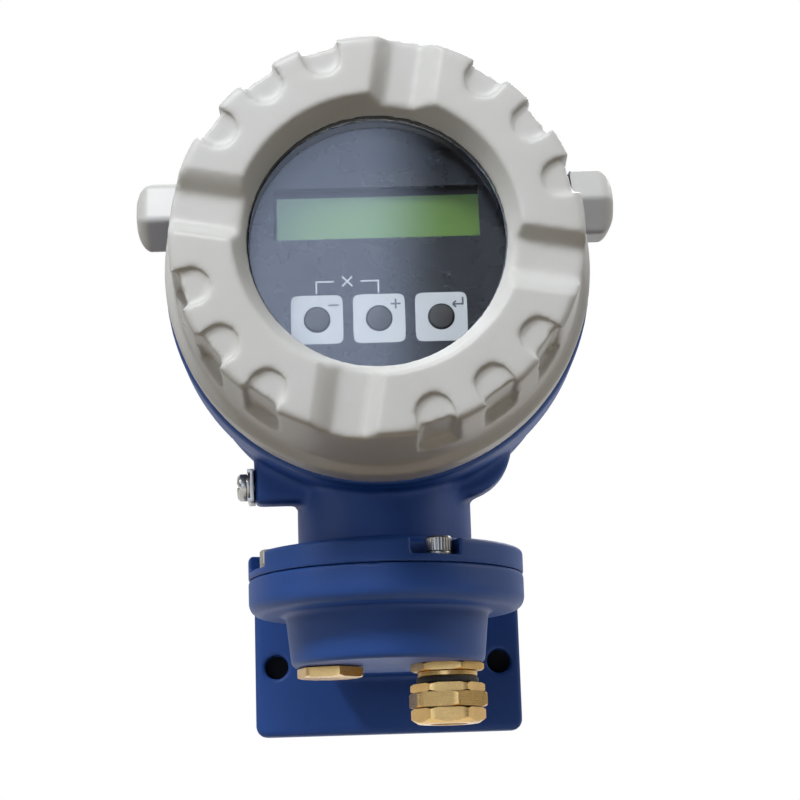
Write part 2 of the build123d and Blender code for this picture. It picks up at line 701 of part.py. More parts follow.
# Housing: drum, neck, rib and cable entries are one casting
front_thread_radius = cover_spigot_radius + cover_thread_clearance
front_thread_end_y = front_collar_y + cover_spigot_length + cover_gap
rear_thread_radius = rear_spigot_radius + cover_thread_clearance
rear_thread_end_y = rear_collar_y - cover_spigot_length - cover_gap
front_step_y = front_collar_y + front_collar_length
rear_step_y = rear_collar_y - rear_collar_length
entry_y = neck_y + entry_offset
rib_front_y = neck_y - rib_offset - rib_thickness / 2
earth_y = neck_y - rib_offset
earth_z = head_axis_z - rib_drop + earth_screw_rise
pillar_points = [
    on_circle(pillar_circle_radius, pillar_first_angle + index * 360 / pillar_count) for index in range(pillar_count)
]
with BuildPart() as housing:
    with BuildSketch(Plane.YZ):
        head_profile(
            [
                (front_collar_y, 0),
                (front_collar_y, front_collar_radius - collar_edge_round),
                (front_collar_y + collar_edge_round, front_collar_radius),
                (front_step_y - collar_edge_round, front_collar_radius),
                (front_step_y + (front_collar_radius - barrel_radius) / 2, barrel_radius),
                (rear_step_y, barrel_radius),
                (rear_step_y, rear_collar_radius),
                (rear_collar_y - collar_edge_round, rear_collar_radius),
                (rear_collar_y, rear_collar_radius - collar_edge_round),
                (rear_collar_y, 0),
            ]
        )
    revolve(axis=head_axis)
    with BuildSketch(neck_plane(neck_end_z)):
        Circle(neck_radius)
    extrude(amount=head_axis_z - barrel_radius / 2 - neck_end_z)
    with BuildSketch(head_plane(rib_front_y)):
        with BuildLine():
            Polyline(
                (-rib_half_width, -front_compartment_radius / 2),
                (-rib_half_width, -rib_drop),
                (rib_half_width - rib_right_corner_radius, -rib_drop),
            )
            RadiusArc(
                (rib_half_width - rib_right_corner_radius, -rib_drop),
                (rib_half_width, -rib_drop + rib_right_corner_radius),
                -rib_right_corner_radius,
            )
            Polyline(
                (rib_half_width, -rib_drop + rib_right_corner_radius),
                (rib_half_width, -front_compartment_radius / 2),
                (-rib_half_width, -front_compartment_radius / 2),
            )
        make_face()
    extrude(amount=-rib_thickness)
    for side in (-1, 1):
        entry_plane = Plane(
            origin=(side * entry_boss_reach, entry_y, head_axis_z + entry_lift), x_dir=(0, 1, 0), z_dir=(side, 0, 0)
        )
        with BuildSketch(entry_plane):
            Circle(entry_boss_radius)
        extrude(amount=-(entry_boss_reach - rear_compartment_radius / 2))
    with BuildSketch(Plane.YZ):
        head_profile(
            [
                (front_face_y, 0),
                (front_face_y, drum_front_radius + swivel_clearance),
                (front_collar_y, drum_front_radius + swivel_clearance),
                (front_collar_y, front_thread_radius),
                (front_thread_end_y, front_thread_radius),
                (front_thread_end_y, front_compartment_radius),
                (partition_front_y, front_compartment_radius),
                (partition_front_y, 0),
            ]
        )
    revolve(axis=head_axis, mode=Mode.SUBTRACT)
    with BuildSketch(Plane.YZ):
        head_profile(
            [
                (rear_collar_y, 0),
                (rear_collar_y, rear_thread_radius),
                (rear_thread_end_y, rear_thread_radius),
                (rear_thread_end_y, rear_compartment_radius),
                (partition_rear_y, rear_compartment_radius),
                (partition_rear_y, 0),
            ]
        )
    revolve(axis=head_axis, mode=Mode.SUBTRACT)
    with BuildSketch(neck_plane(neck_end_z)):
        Circle(neck_bore_radius)
    extrude(amount=head_axis_z - rear_compartment_radius - neck_end_z + partition_thickness, mode=Mode.SUBTRACT)
    with BuildSketch(neck_plane(neck_end_z)):
        with PolarLocations(foot_screw_circle_radius, foot_screw_count, start_angle=foot_screw_first_angle):
            Circle(foot_screw_shank_radius + thread_clearance)
    extrude(amount=foot_screw_depth, mode=Mode.SUBTRACT)
    for side in (-1, 1):
        entry_plane = Plane(
            origin=(side * entry_boss_reach, entry_y, head_axis_z + entry_lift), x_dir=(0, 1, 0), z_dir=(side, 0, 0)
        )
        with BuildSketch(entry_plane):
            Circle(entry_thread_radius + thread_clearance)
        extrude(amount=-(entry_boss_reach - rear_compartment_radius / 2), mode=Mode.SUBTRACT)
    with BuildSketch(Plane(origin=(-rib_half_width, earth_y, earth_z), x_dir=(0, 1, 0), z_dir=(-1, 0, 0))):
        Circle(earth_screw_radius + thread_clearance)
    extrude(amount=-(earth_screw_depth + flat_clearance), mode=Mode.SUBTRACT)
made_parts.append(("housing", housing))

# Foot plate that keeps the neck in the clamp ring, and its countersunk screws
with BuildPart() as foot_plate:
    with BuildSketch(neck_plane(foot_bottom_z)):
        Circle(foot_radius)
        Circle(neck_bore_radius, mode=Mode.SUBTRACT)
    extrude(amount=foot_thickness)
    with BuildSketch(neck_plane(foot_bottom_z)):
        with PolarLocations(foot_screw_circle_radius, foot_screw_count, start_angle=foot_screw_first_angle):
            Circle(foot_screw_shank_radius + pocket_clearance)
    extrude(amount=foot_thickness, mode=Mode.SUBTRACT)
    with BuildSketch(neck_plane(foot_bottom_z)):
        with PolarLocations(foot_screw_circle_radius, foot_screw_count, start_angle=foot_screw_first_angle):
            Circle(foot_screw_head_radius + pocket_clearance)
    extrude(amount=foot_screw_head_height + pocket_clearance, mode=Mode.SUBTRACT)
made_parts.append(("foot_plate", foot_plate))

with BuildPart() as foot_plate_screws:
    with BuildSketch(neck_plane(foot_bottom_z + pocket_clearance)):
        with PolarLocations(foot_screw_circle_radius, foot_screw_count, start_angle=foot_screw_first_angle):
            Circle(foot_screw_head_radius)
    extrude(amount=foot_screw_head_height)
    with BuildSketch(neck_plane(foot_bottom_z + pocket_clearance)):
        with PolarLocations(foot_screw_circle_radius, foot_screw_count, start_angle=foot_screw_first_angle):
            Circle(foot_screw_shank_radius)
    extrude(amount=foot_thickness + foot_screw_depth - 2 * pocket_clearance)
made_parts.append(("foot_plate_screws", foot_plate_screws))

# Plugs in the two side entries, with their flat seals
for side, side_name, plug_turn in ((-1, "left", plug_left_turn), (1, "right", plug_right_turn)):
    seal_plane = Plane(
        origin=(side * entry_boss_reach, entry_y, head_axis_z + entry_lift), x_dir=(0, 1, 0), z_dir=(side, 0, 0)
    )
    head_start = seal_plane.offset(plug_seal_thickness)
    with BuildPart() as side_plug:
        with BuildSketch(head_start):
            RegularPolygon(plug_head_flats / 2, 6, major_radius=False, rotation=plug_turn)
        extrude(amount=plug_head_length)
        dome_edges = side_plug.faces().sort_by(Axis.X)[0 if side < 0 else -1].edges()
        chamfer(dome_edges, length=plug_dome_inset, length2=plug_dome_length)
        with BuildSketch(head_start):
            Circle(entry_thread_radius)
        extrude(amount=-(plug_seal_thickness + plug_shank_length))
        with BuildSketch(head_start.offset(plug_head_length)):
            Circle(plug_socket_radius)
        extrude(amount=-plug_socket_depth, mode=Mode.SUBTRACT)
    made_parts.append((f"side_plug_{side_name}", side_plug))
    with BuildPart() as side_plug_seal:
        with BuildSketch(seal_plane):
            Circle(plug_head_flats / 2)
            Circle(entry_thread_radius + thread_clearance, mode=Mode.SUBTRACT)
        extrude(amount=plug_seal_thickness)
    made_parts.append((f"side_plug_seal_{side_name}", side_plug_seal))

# Outer earth terminal on the left end of the rib: clamp, spring washer, slotted screw
earth_plane = Plane(origin=(-rib_half_width, earth_y, earth_z), x_dir=(0, 1, 0), z_dir=(-1, 0, 0))
with BuildPart() as earth_clamp:
    with BuildSketch(earth_plane):
        Rectangle(earth_clamp_width, earth_clamp_width)
    extrude(amount=earth_clamp_thickness)
    with BuildSketch(earth_plane):
        for side in (-1, 1):
            with Locations((0, side * (earth_clamp_width - earth_clamp_thickness) / 2)):
                Rectangle(earth_clamp_width, earth_clamp_thickness)
    extrude(amount=earth_clamp_lip)
    with BuildSketch(earth_plane):
        Circle(earth_screw_radius + pocket_clearance)
    extrude(amount=earth_clamp_thickness, mode=Mode.SUBTRACT)
made_parts.append(("earth_clamp", earth_clamp))

washer_plane = earth_plane.offset(earth_clamp_thickness)
with BuildPart() as earth_spring_washer:
    with BuildSketch(washer_plane):
        Circle(spring_washer_radius)
        Circle(earth_screw_radius + pocket_clearance, mode=Mode.SUBTRACT)
        with Locations((spring_washer_radius / 2, 0)):
            Rectangle(spring_washer_radius, spring_washer_gap, mode=Mode.SUBTRACT)
    extrude(amount=spring_washer_thickness)
made_parts.append(("earth_spring_washer", earth_spring_washer))

earth_head_plane = washer_plane.offset(spring_washer_thickness)
with BuildPart() as earth_screw:
    with BuildSketch(earth_head_plane):
        Circle(earth_head_radius)
    extrude(amount=earth_head_height)
    head_rim = earth_screw.faces().sort_by(Axis.X)[0].edges()
    chamfer(head_rim, length=earth_head_chamfer)
    with BuildSketch(earth_head_plane):
        Circle(earth_screw_radius)
    extrude(amount=-(earth_clamp_thickness + spring_washer_thickness + earth_screw_depth))
    with BuildSketch(earth_head_plane.offset(earth_head_height)):
        Rectangle(2 * earth_head_radius, earth_slot_width)
    extrude(amount=-earth_slot_depth, mode=Mode.SUBTRACT)
made_parts.append(("earth_screw", earth_screw))

# Front cover: the nose with its grips, the rim band and the threaded spigot are one casting
rim_start_depth = front_cover_depth - cover_rim_width
rim_shoulder = cover_rim_radius - cover_waist_radius
glass_front_depth = window_lip_depth + window_seal_thickness
glass_back_depth = glass_front_depth + glass_thickness
retainer_back_depth = glass_back_depth + retainer_thickness
cover_end_depth = front_cover_depth + cover_spigot_length
front_profile_points = [
    (0, cover_face_inner_radius),
    *corner_points(cover_face_round, cover_nose_radius),
    (rim_start_depth - rim_shoulder, cover_waist_radius),
    (rim_start_depth, cover_rim_radius),
    (front_cover_depth - cover_rim_round, cover_rim_radius),
    (front_cover_depth, cover_rim_radius - cover_rim_round),
    (front_cover_depth, cover_spigot_radius - cover_groove_depth),
    (front_cover_depth + cover_groove_width, cover_spigot_radius - cover_groove_depth),
    (front_cover_depth + cover_groove_width, cover_spigot_radius),
    (cover_end_depth, cover_spigot_radius),
    (cover_end_depth, cover_bore_radius),
    (cover_shelf_depth, cover_bore_radius),
    (cover_shelf_depth, retainer_outer_radius + thread_clearance),
    (glass_back_depth, retainer_outer_radius + thread_clearance),
    (glass_back_depth, glass_radius + pocket_clearance),
    (window_lip_depth, glass_radius + pocket_clearance),
    (window_lip_depth, window_radius),
    (window_chamfer_depth, window_radius),
]
with BuildPart() as front_cover:
    with BuildSketch(Plane.YZ):
        head_profile([(front_face_y + depth, radius) for depth, radius in front_profile_points])
    revolve(axis=head_axis)
    cut_slots(front_face_y, 1, 0, cover_rim_radius)
    cut_scallops(
        head_plane(front_face_y), scallop_inner_reach, scallop_wall_radius, scallop_wall_depth, cover_rim_radius
    )
made_parts.append(("front_cover", front_cover))

# Window: seal, glass and threaded retaining ring inside the front cover
with BuildPart() as window_seal:
    with BuildSketch(head_plane(front_face_y + window_lip_depth)):
        Circle(glass_radius)
        Circle(glass_radius - window_seal_width, mode=Mode.SUBTRACT)
    extrude(amount=-window_seal_thickness)
made_parts.append(("window_seal", window_seal))

with BuildPart() as window_glass:
    with BuildSketch(head_plane(front_face_y + glass_front_depth)):
        Circle(glass_radius)
    extrude(amount=-glass_thickness)
made_parts.append(("window_glass", window_glass))

with BuildPart() as window_retainer:
    with BuildSketch(head_plane(front_face_y + glass_back_depth)):
        Circle(retainer_outer_radius)
        Circle(retainer_inner_radius, mode=Mode.SUBTRACT)
    extrude(amount=-retainer_thickness)
    with BuildSketch(head_plane(front_face_y + retainer_back_depth)):
        with PolarLocations(retainer_inner_radius, retainer_notch_count):
            Rectangle(retainer_notch_width, retainer_notch_width)
    extrude(amount=retainer_thickness / 2, mode=Mode.SUBTRACT)
made_parts.append(("window_retainer", window_retainer))

# Rear cover: blind, with the same grips
rear_rim_start = rear_cover_depth - rear_cover_rim_width
rear_shoulder = rear_cover_rim_radius - rear_cover_waist_radius
rear_profile_points = [
    (0, 0),
    *corner_points(cover_face_round, rear_cover_nose_radius),
    (rear_rim_start - rear_shoulder, rear_cover_waist_radius),
    (rear_rim_start, rear_cover_rim_radius),
    (rear_cover_depth - cover_rim_round, rear_cover_rim_radius),
    (rear_cover_depth, rear_cover_rim_radius - cover_rim_round),
    (rear_cover_depth, rear_spigot_radius - cover_groove_depth),
    (rear_cover_depth + cover_groove_width, rear_spigot_radius - cover_groove_depth),
    (rear_cover_depth + cover_groove_width, rear_spigot_radius),
    (rear_cover_depth + cover_spigot_length, rear_spigot_radius),
    (rear_cover_depth + cover_spigot_length, rear_cover_bore_radius),
    (rear_cover_wall, rear_cover_bore_radius),
    (rear_cover_wall, 0),
]
with BuildPart() as rear_cover:
    with BuildSketch(Plane.YZ):
        head_profile([(rear_face_y - depth, radius) for depth, radius in rear_profile_points])
    revolve(axis=head_axis)
    cut_slots(rear_face_y, -1, rear_slot_inner_reach, rear_cover_rim_radius)
    cut_scallops(
        rear_plane(rear_face_y),
        rear_scallop_inner_reach,
        rear_scallop_wall_radius,
        rear_scallop_wall_depth,
        rear_cover_rim_radius,
    )
made_parts.append(("rear_cover", rear_cover))

# Seal rings of the two covers, each in the groove at the root of its spigot
with BuildPart() as front_cover_seal:
    with BuildSketch(Plane.YZ):
        seal_y = front_face_y + front_cover_depth + cover_groove_width / 2
        with Locations((seal_y, head_axis_z + cover_spigot_radius - cover_seal_section_radius)):
            RegularPolygon(cover_seal_section_radius, seal_section_sides, major_radius=False)
    revolve(axis=head_axis)
made_parts.append(("front_cover_seal", front_cover_seal))

with BuildPart() as rear_cover_seal:
    with BuildSketch(Plane.YZ):
        seal_y = rear_face_y - rear_cover_depth - cover_groove_width / 2
        with Locations((seal_y, head_axis_z + rear_spigot_radius - cover_seal_section_radius)):
            RegularPolygon(cover_seal_section_radius, seal_section_sides, major_radius=False)
    revolve(axis=head_axis)
made_parts.append(("rear_cover_seal", rear_cover_seal))

# Display unit: front panel with the display opening and three key holes
key_points = [(-key_pitch, -key_drop), (0, -key_drop), (key_pitch, -key_drop)]
panel_back_y = display_y + display_panel_thickness
with BuildPart() as display_panel:
    with BuildSketch(head_plane(display_y)):
        Circle(display_radius)
        with Locations((0, lcd_lift)):
            Rectangle(lcd_opening_width, lcd_opening_height, mode=Mode.SUBTRACT)
        with Locations(*key_points):
            Circle(key_radius + swivel_clearance / 2, mode=Mode.SUBTRACT)
    extrude(amount=-display_panel_thickness)
made_parts.append(("display_panel", display_panel))

with BuildPart() as display_housing:
    with BuildSketch(head_plane(panel_back_y)):
        Circle(display_radius - display_housing_inset)
    extrude(amount=-display_housing_depth)
    with BuildSketch(head_plane(panel_back_y)):
        Circle(display_radius - display_housing_inset - display_housing_wall)
    extrude(amount=-(display_housing_depth - display_housing_wall), mode=Mode.SUBTRACT)
made_parts.append(("display_housing", display_housing))

lcd_front_y = display_y + lcd_recess
lcd_back_y = lcd_front_y + lcd_thickness
board_front_y = lcd_back_y
with BuildPart() as lcd_screen:
    with BuildSketch(head_plane(lcd_front_y)):
        with Locations((0, lcd_lift)):
            Rectangle(lcd_opening_width + lcd_frame_margin, lcd_opening_height + lcd_frame_margin)
    extrude(amount=-lcd_thickness)
made_parts.append(("lcd_screen", lcd_screen))

display_board_radius = display_radius - display_housing_inset - display_housing_wall - display_board_gap
with BuildPart() as display_board:
    with BuildSketch(head_plane(board_front_y)):
        Circle(display_board_radius)
    extrude(amount=-display_board_thickness)
    with BuildSketch(head_plane(board_front_y + display_board_thickness)):
        with PolarLocations(display_board_radius - standoff_inset, pillar_count, start_angle=standoff_first_angle):
            Circle(standoff_radius)
    extrude(amount=-(display_back_y - display_housing_wall - board_front_y - display_board_thickness))
made_parts.append(("display_board", display_board))

# Three sprung keys, each with a collar behind the panel
key_end_y = board_front_y - key_travel - flat_clearance
for key_name, key_point in zip(("key_minus", "key_plus", "key_enter"), key_points):
    with BuildPart() as key:
        with BuildSketch(head_plane(display_y - key_proud)):
            with Locations(key_point):
                Circle(key_radius)
        extrude(amount=-(key_end_y - display_y + key_proud))
        with BuildSketch(head_plane(panel_back_y + flat_clearance)):
            with Locations(key_point):
                Circle(key_collar_radius)
        extrude(amount=-key_collar_thickness)
        cap_rim = key.faces().sort_by(Axis.Y)[0].edges()
        chamfer(cap_rim, length=key_edge_chamfer)
    made_parts.append((key_name, key))

# Electronics stack: display carrier, two boards and the pillars that join them to the partition
with BuildPart() as display_carrier:
    with BuildSketch(head_plane(display_back_y)):
        Circle(carrier_radius)
        Circle(carrier_hole_radius, mode=Mode.SUBTRACT)
    extrude(amount=-carrier_thickness)
made_parts.append(("display_carrier", display_carrier))

with BuildPart() as board_pillars:
    with BuildSketch(head_plane(partition_front_y)):
        with Locations(*pillar_points):
            Circle(pillar_radius)
    extrude(amount=partition_front_y - carrier_back_y)
made_parts.append(("board_pillars", board_pillars))

with BuildPart() as amplifier_board:
    with BuildSketch(head_plane(amplifier_board_y)):
        Circle(board_radius)
        with Locations(*pillar_points):
            Circle(pillar_radius + thread_clearance, mode=Mode.SUBTRACT)
    extrude(amount=-board_thickness)
    with BuildSketch(head_plane(amplifier_board_y)):
        Rectangle(shield_can_width, shield_can_height)
    extrude(amount=shield_can_depth)
made_parts.append(("amplifier_board", amplifier_board))

with BuildPart() as power_board:
    with BuildSketch(head_plane(power_board_y)):
        Circle(board_radius)
        with Locations(*pillar_points):
            Circle(pillar_radius + thread_clearance, mode=Mode.SUBTRACT)
    extrude(amount=-board_thickness)
    with BuildSketch(head_plane(power_board_y)):
        Rectangle(transformer_width, transformer_height)
    extrude(amount=transformer_depth)
made_parts.append(("power_board", power_board))

# Terminal block on the partition in the rear compartment, with its screws
terminal_length = terminal_count * terminal_pitch + terminal_pitch / 2
terminal_face_y = partition_rear_y + terminal_block_depth
terminal_step_y = terminal_face_y - terminal_step_depth
with BuildPart() as terminal_block:
    with BuildSketch(rear_plane(partition_rear_y)):
        Rectangle(terminal_length, terminal_block_height)
    extrude(amount=terminal_block_depth)
    with BuildSketch(rear_plane(terminal_face_y)):
        with Locations((0, -terminal_block_height / 2)):
            Rectangle(terminal_length, terminal_block_height, align=(Align.CENTER, Align.CENTER))
    extrude(amount=-terminal_step_depth, mode=Mode.SUBTRACT)
    with BuildSketch(rear_plane(terminal_face_y)):
        with Locations((0, terminal_block_height / 4)):
            with GridLocations(terminal_pitch, 1, terminal_count, 1):
                Circle(terminal_screw_radius + pocket_clearance)
    extrude(amount=-terminal_screw_length, mode=Mode.SUBTRACT)
made_parts.append(("terminal_block", terminal_block))

with BuildPart() as terminal_screws:
    with BuildSketch(rear_plane(terminal_face_y - terminal_screw_length)):
        with Locations((0, terminal_block_height / 4)):
            with GridLocations(terminal_pitch, 1, terminal_count, 1):
                Circle(terminal_screw_radius)
    extrude(amount=terminal_screw_length - terminal_slot_depth)
made_parts.append(("terminal_screws", terminal_screws))

os.makedirs("parts", exist_ok=True)
for part_name, builder in made_parts:
    builder.part.label = part_name
    export_step(builder.part, f"parts/{part_name}.step")
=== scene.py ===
"""Looks of a wall-mounted ultrasonic flow transmitter head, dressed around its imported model."""

import logging
import math
from dataclasses import dataclass, field
from enum import Enum

import bmesh
import bpy
from mathutils import Matrix, Vector


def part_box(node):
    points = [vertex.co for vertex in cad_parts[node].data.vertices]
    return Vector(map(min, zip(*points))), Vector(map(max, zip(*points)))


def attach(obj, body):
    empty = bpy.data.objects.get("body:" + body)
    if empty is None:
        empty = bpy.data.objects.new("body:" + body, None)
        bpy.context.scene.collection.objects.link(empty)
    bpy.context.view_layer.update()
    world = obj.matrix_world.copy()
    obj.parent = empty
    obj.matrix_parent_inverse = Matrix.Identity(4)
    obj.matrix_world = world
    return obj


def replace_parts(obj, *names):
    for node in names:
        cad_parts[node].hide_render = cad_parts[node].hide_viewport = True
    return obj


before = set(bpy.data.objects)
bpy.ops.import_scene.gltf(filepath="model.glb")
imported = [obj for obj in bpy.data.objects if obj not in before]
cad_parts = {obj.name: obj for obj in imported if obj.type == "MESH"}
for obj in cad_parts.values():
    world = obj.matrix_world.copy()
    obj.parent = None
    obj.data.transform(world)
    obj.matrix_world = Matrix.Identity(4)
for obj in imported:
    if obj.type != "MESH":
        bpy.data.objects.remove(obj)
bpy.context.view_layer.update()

MM = 0.001
NECK_Y = -88.0 * MM
HEAD_AXIS_Z = 118.8 * MM
GLAND_X = 19.7 * MM
ENTRY_FACE_X = 69.6 * MM
ROUND_SEGMENTS = 96
HEX_SEGMENTS = 96
TRIANGLE_LIMIT = 170_000
TRIANGLES_PER_CELL = 3.0
WELD_DISTANCE = 0.002 * MM
THREAD_SINK = 0.02 * MM

log = logging.getLogger("flow_meter")

Colour = tuple[float, float, float, float]
Profile = list[tuple[float, float]]


class Body(str, Enum):
    """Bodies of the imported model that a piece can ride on."""

    HOLDER = "holder"
    HEAD = "head"
    FRONT_COVER = "front_cover"
    REAR_COVER = "rear_cover"
    FRONT_SEAL = "front_seal"
    REAR_SEAL = "rear_seal"
    GLAND_CAP = "gland_cap"
    MINUS_KEY = "minus_key"
    PLUS_KEY = "plus_key"
    ENTER_KEY = "enter_key"


class Slot(str, Enum):
    """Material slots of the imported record."""

    BLUE_PAINT = "blue_paint"
    COVER_PAINT = "cover_paint"
    PLUG_PAINT = "cover_plug_paint"
    BRASS = "plated_brass"
    STEEL = "steel"
    RUBBER = "seal_rubber"
    GLASS = "window_glass"
    DARK_RING = "dark_ring"
    PANEL = "panel_plastic"
    HOUSING_PLASTIC = "housing_plastic"
    LCD = "lcd"
    KEYS = "key_plastic"
    BOARD = "board"
    SPACER = "spacer_metal"
    TERMINAL = "terminal_plastic"


class Symbol(Enum):
    """Marks printed beside the keys."""

    MINUS = "minus"
    PLUS = "plus"
    RETURN = "return"
    CROSS = "cross"


def rgb(red: float, green: float, blue: float) -> Colour:
    """Turn an sRGB colour, 0 to 255, into the linear colour that a shader takes.

    Args:
        red: Red share.
        green: Green share.
        blue: Blue share.

    Returns:
        The linear colour with full alpha.
    """
    linear = [
        share / 12.92 if share <= 0.04045 else ((share + 0.055) / 1.055) ** 2.4
        for share in (red / 255, green / 255, blue / 255)
    ]
    return (linear[0], linear[1], linear[2], 1.0)


class NodeSheet:
    """A node tree that is filled in short lines."""

    def __init__(self, tree: bpy.types.NodeTree) -> None:
        """Take the tree to fill.

        Args:
            tree: Tree of a material, a world or a node group.
        """
        self.tree = tree

    def node(self, kind: str, inputs: dict | None = None, **settings: object) -> bpy.types.Node:
        """Place a node and set or join its inputs.

        Args:
            kind: Node type without its ShaderNode prefix.
            inputs: Socket name or number to a value or to another node's output.
            settings: Properties of the node.

        Returns:
            The new node.
        """
        made = self.tree.nodes.new(kind if kind.startswith("NodeGroup") else f"ShaderNode{kind}")
        for name, value in settings.items():
            setattr(made, name, value)
        for name, value in (inputs or {}).items():
            self.feed(made, name, value)
        return made

    def feed(self, node: bpy.types.Node, name: str | int, value: object) -> None:
        """Join an output to an input, or set the input's value.

        Args:
            node: Node that has the input.
            name: Socket name or number.
            value: An output socket, a number or a colour.
        """
        if isinstance(value, bpy.types.NodeSocket):
            self.tree.links.new(value, node.inputs[name])
        else:
            node.inputs[name].default_value = value

    def maths(
        self, operation: str, first: object, second: object = 0.0, clamp: bool = False
    ) -> bpy.types.NodeSocket:
        """Place a Math node and return its result.

        Args:
            operation: Blender's name of the operation.
            first: First number or socket.
            second: Second number or socket.
            clamp: Whether the result is held between 0 and 1.

        Returns:
            The result's socket.
        """
        made = self.node("Math", {0: first, 1: second}, operation=operation, use_clamp=clamp)
        return made.outputs[0]

    def blend(self, factor: object, first: object, second: object, mode: str = "MIX") -> bpy.types.NodeSocket:
        """Place a colour Mix node and return its result.

        Args:
            factor: Share of the second colour, as a number or a socket.
            first: Colour at a factor of 0.
            second: Colour at a factor of 1.
            mode: Blend mode.

        Returns:
            The mixed colour's socket.
        """
        made = self.node("Mix", data_type="RGBA", blend_type=mode)
        self.feed(made, 0, factor)
        self.feed(made, 6, first)
        self.feed(made, 7, second)
        return made.outputs[2]

    def step(self, value: object, low: float, high: float) -> bpy.types.NodeSocket:
        """Place a smooth step from 0 at low to 1 at high and return its result.

        Args:
            value: Number or socket that is stepped.
            low: Value at which the step starts.
            high: Value at which it ends.

        Returns:
            The step's socket.
        """
        made = self.node(
            "MapRange", {"Value": value, "From Min": low, "From Max": high}, interpolation_type="SMOOTHSTEP"
        )
        return made.outputs[0]

    def noise(
        self, scale: float, detail: float = 3.0, stretch: Colour | tuple | None = None
    ) -> bpy.types.NodeSocket:
        """Place a noise in the piece's own coordinates and return its value.

        Args:
            scale: Waves for each metre, or the socket that gives them.
            detail: Octaves.
            stretch: Scale on each axis, for drawn or brushed grain.

        Returns:
            The noise value, 0 to 1.
        """
        place = self.node("TexCoord").outputs["Object"]
        if stretch is not None:
            place = self.node("Mapping", {"Vector": place, "Scale": stretch}).outputs[0]
        return self.node("TexNoise", {"Vector": place, "Scale": scale, "Detail": detail}).outputs["Fac"]


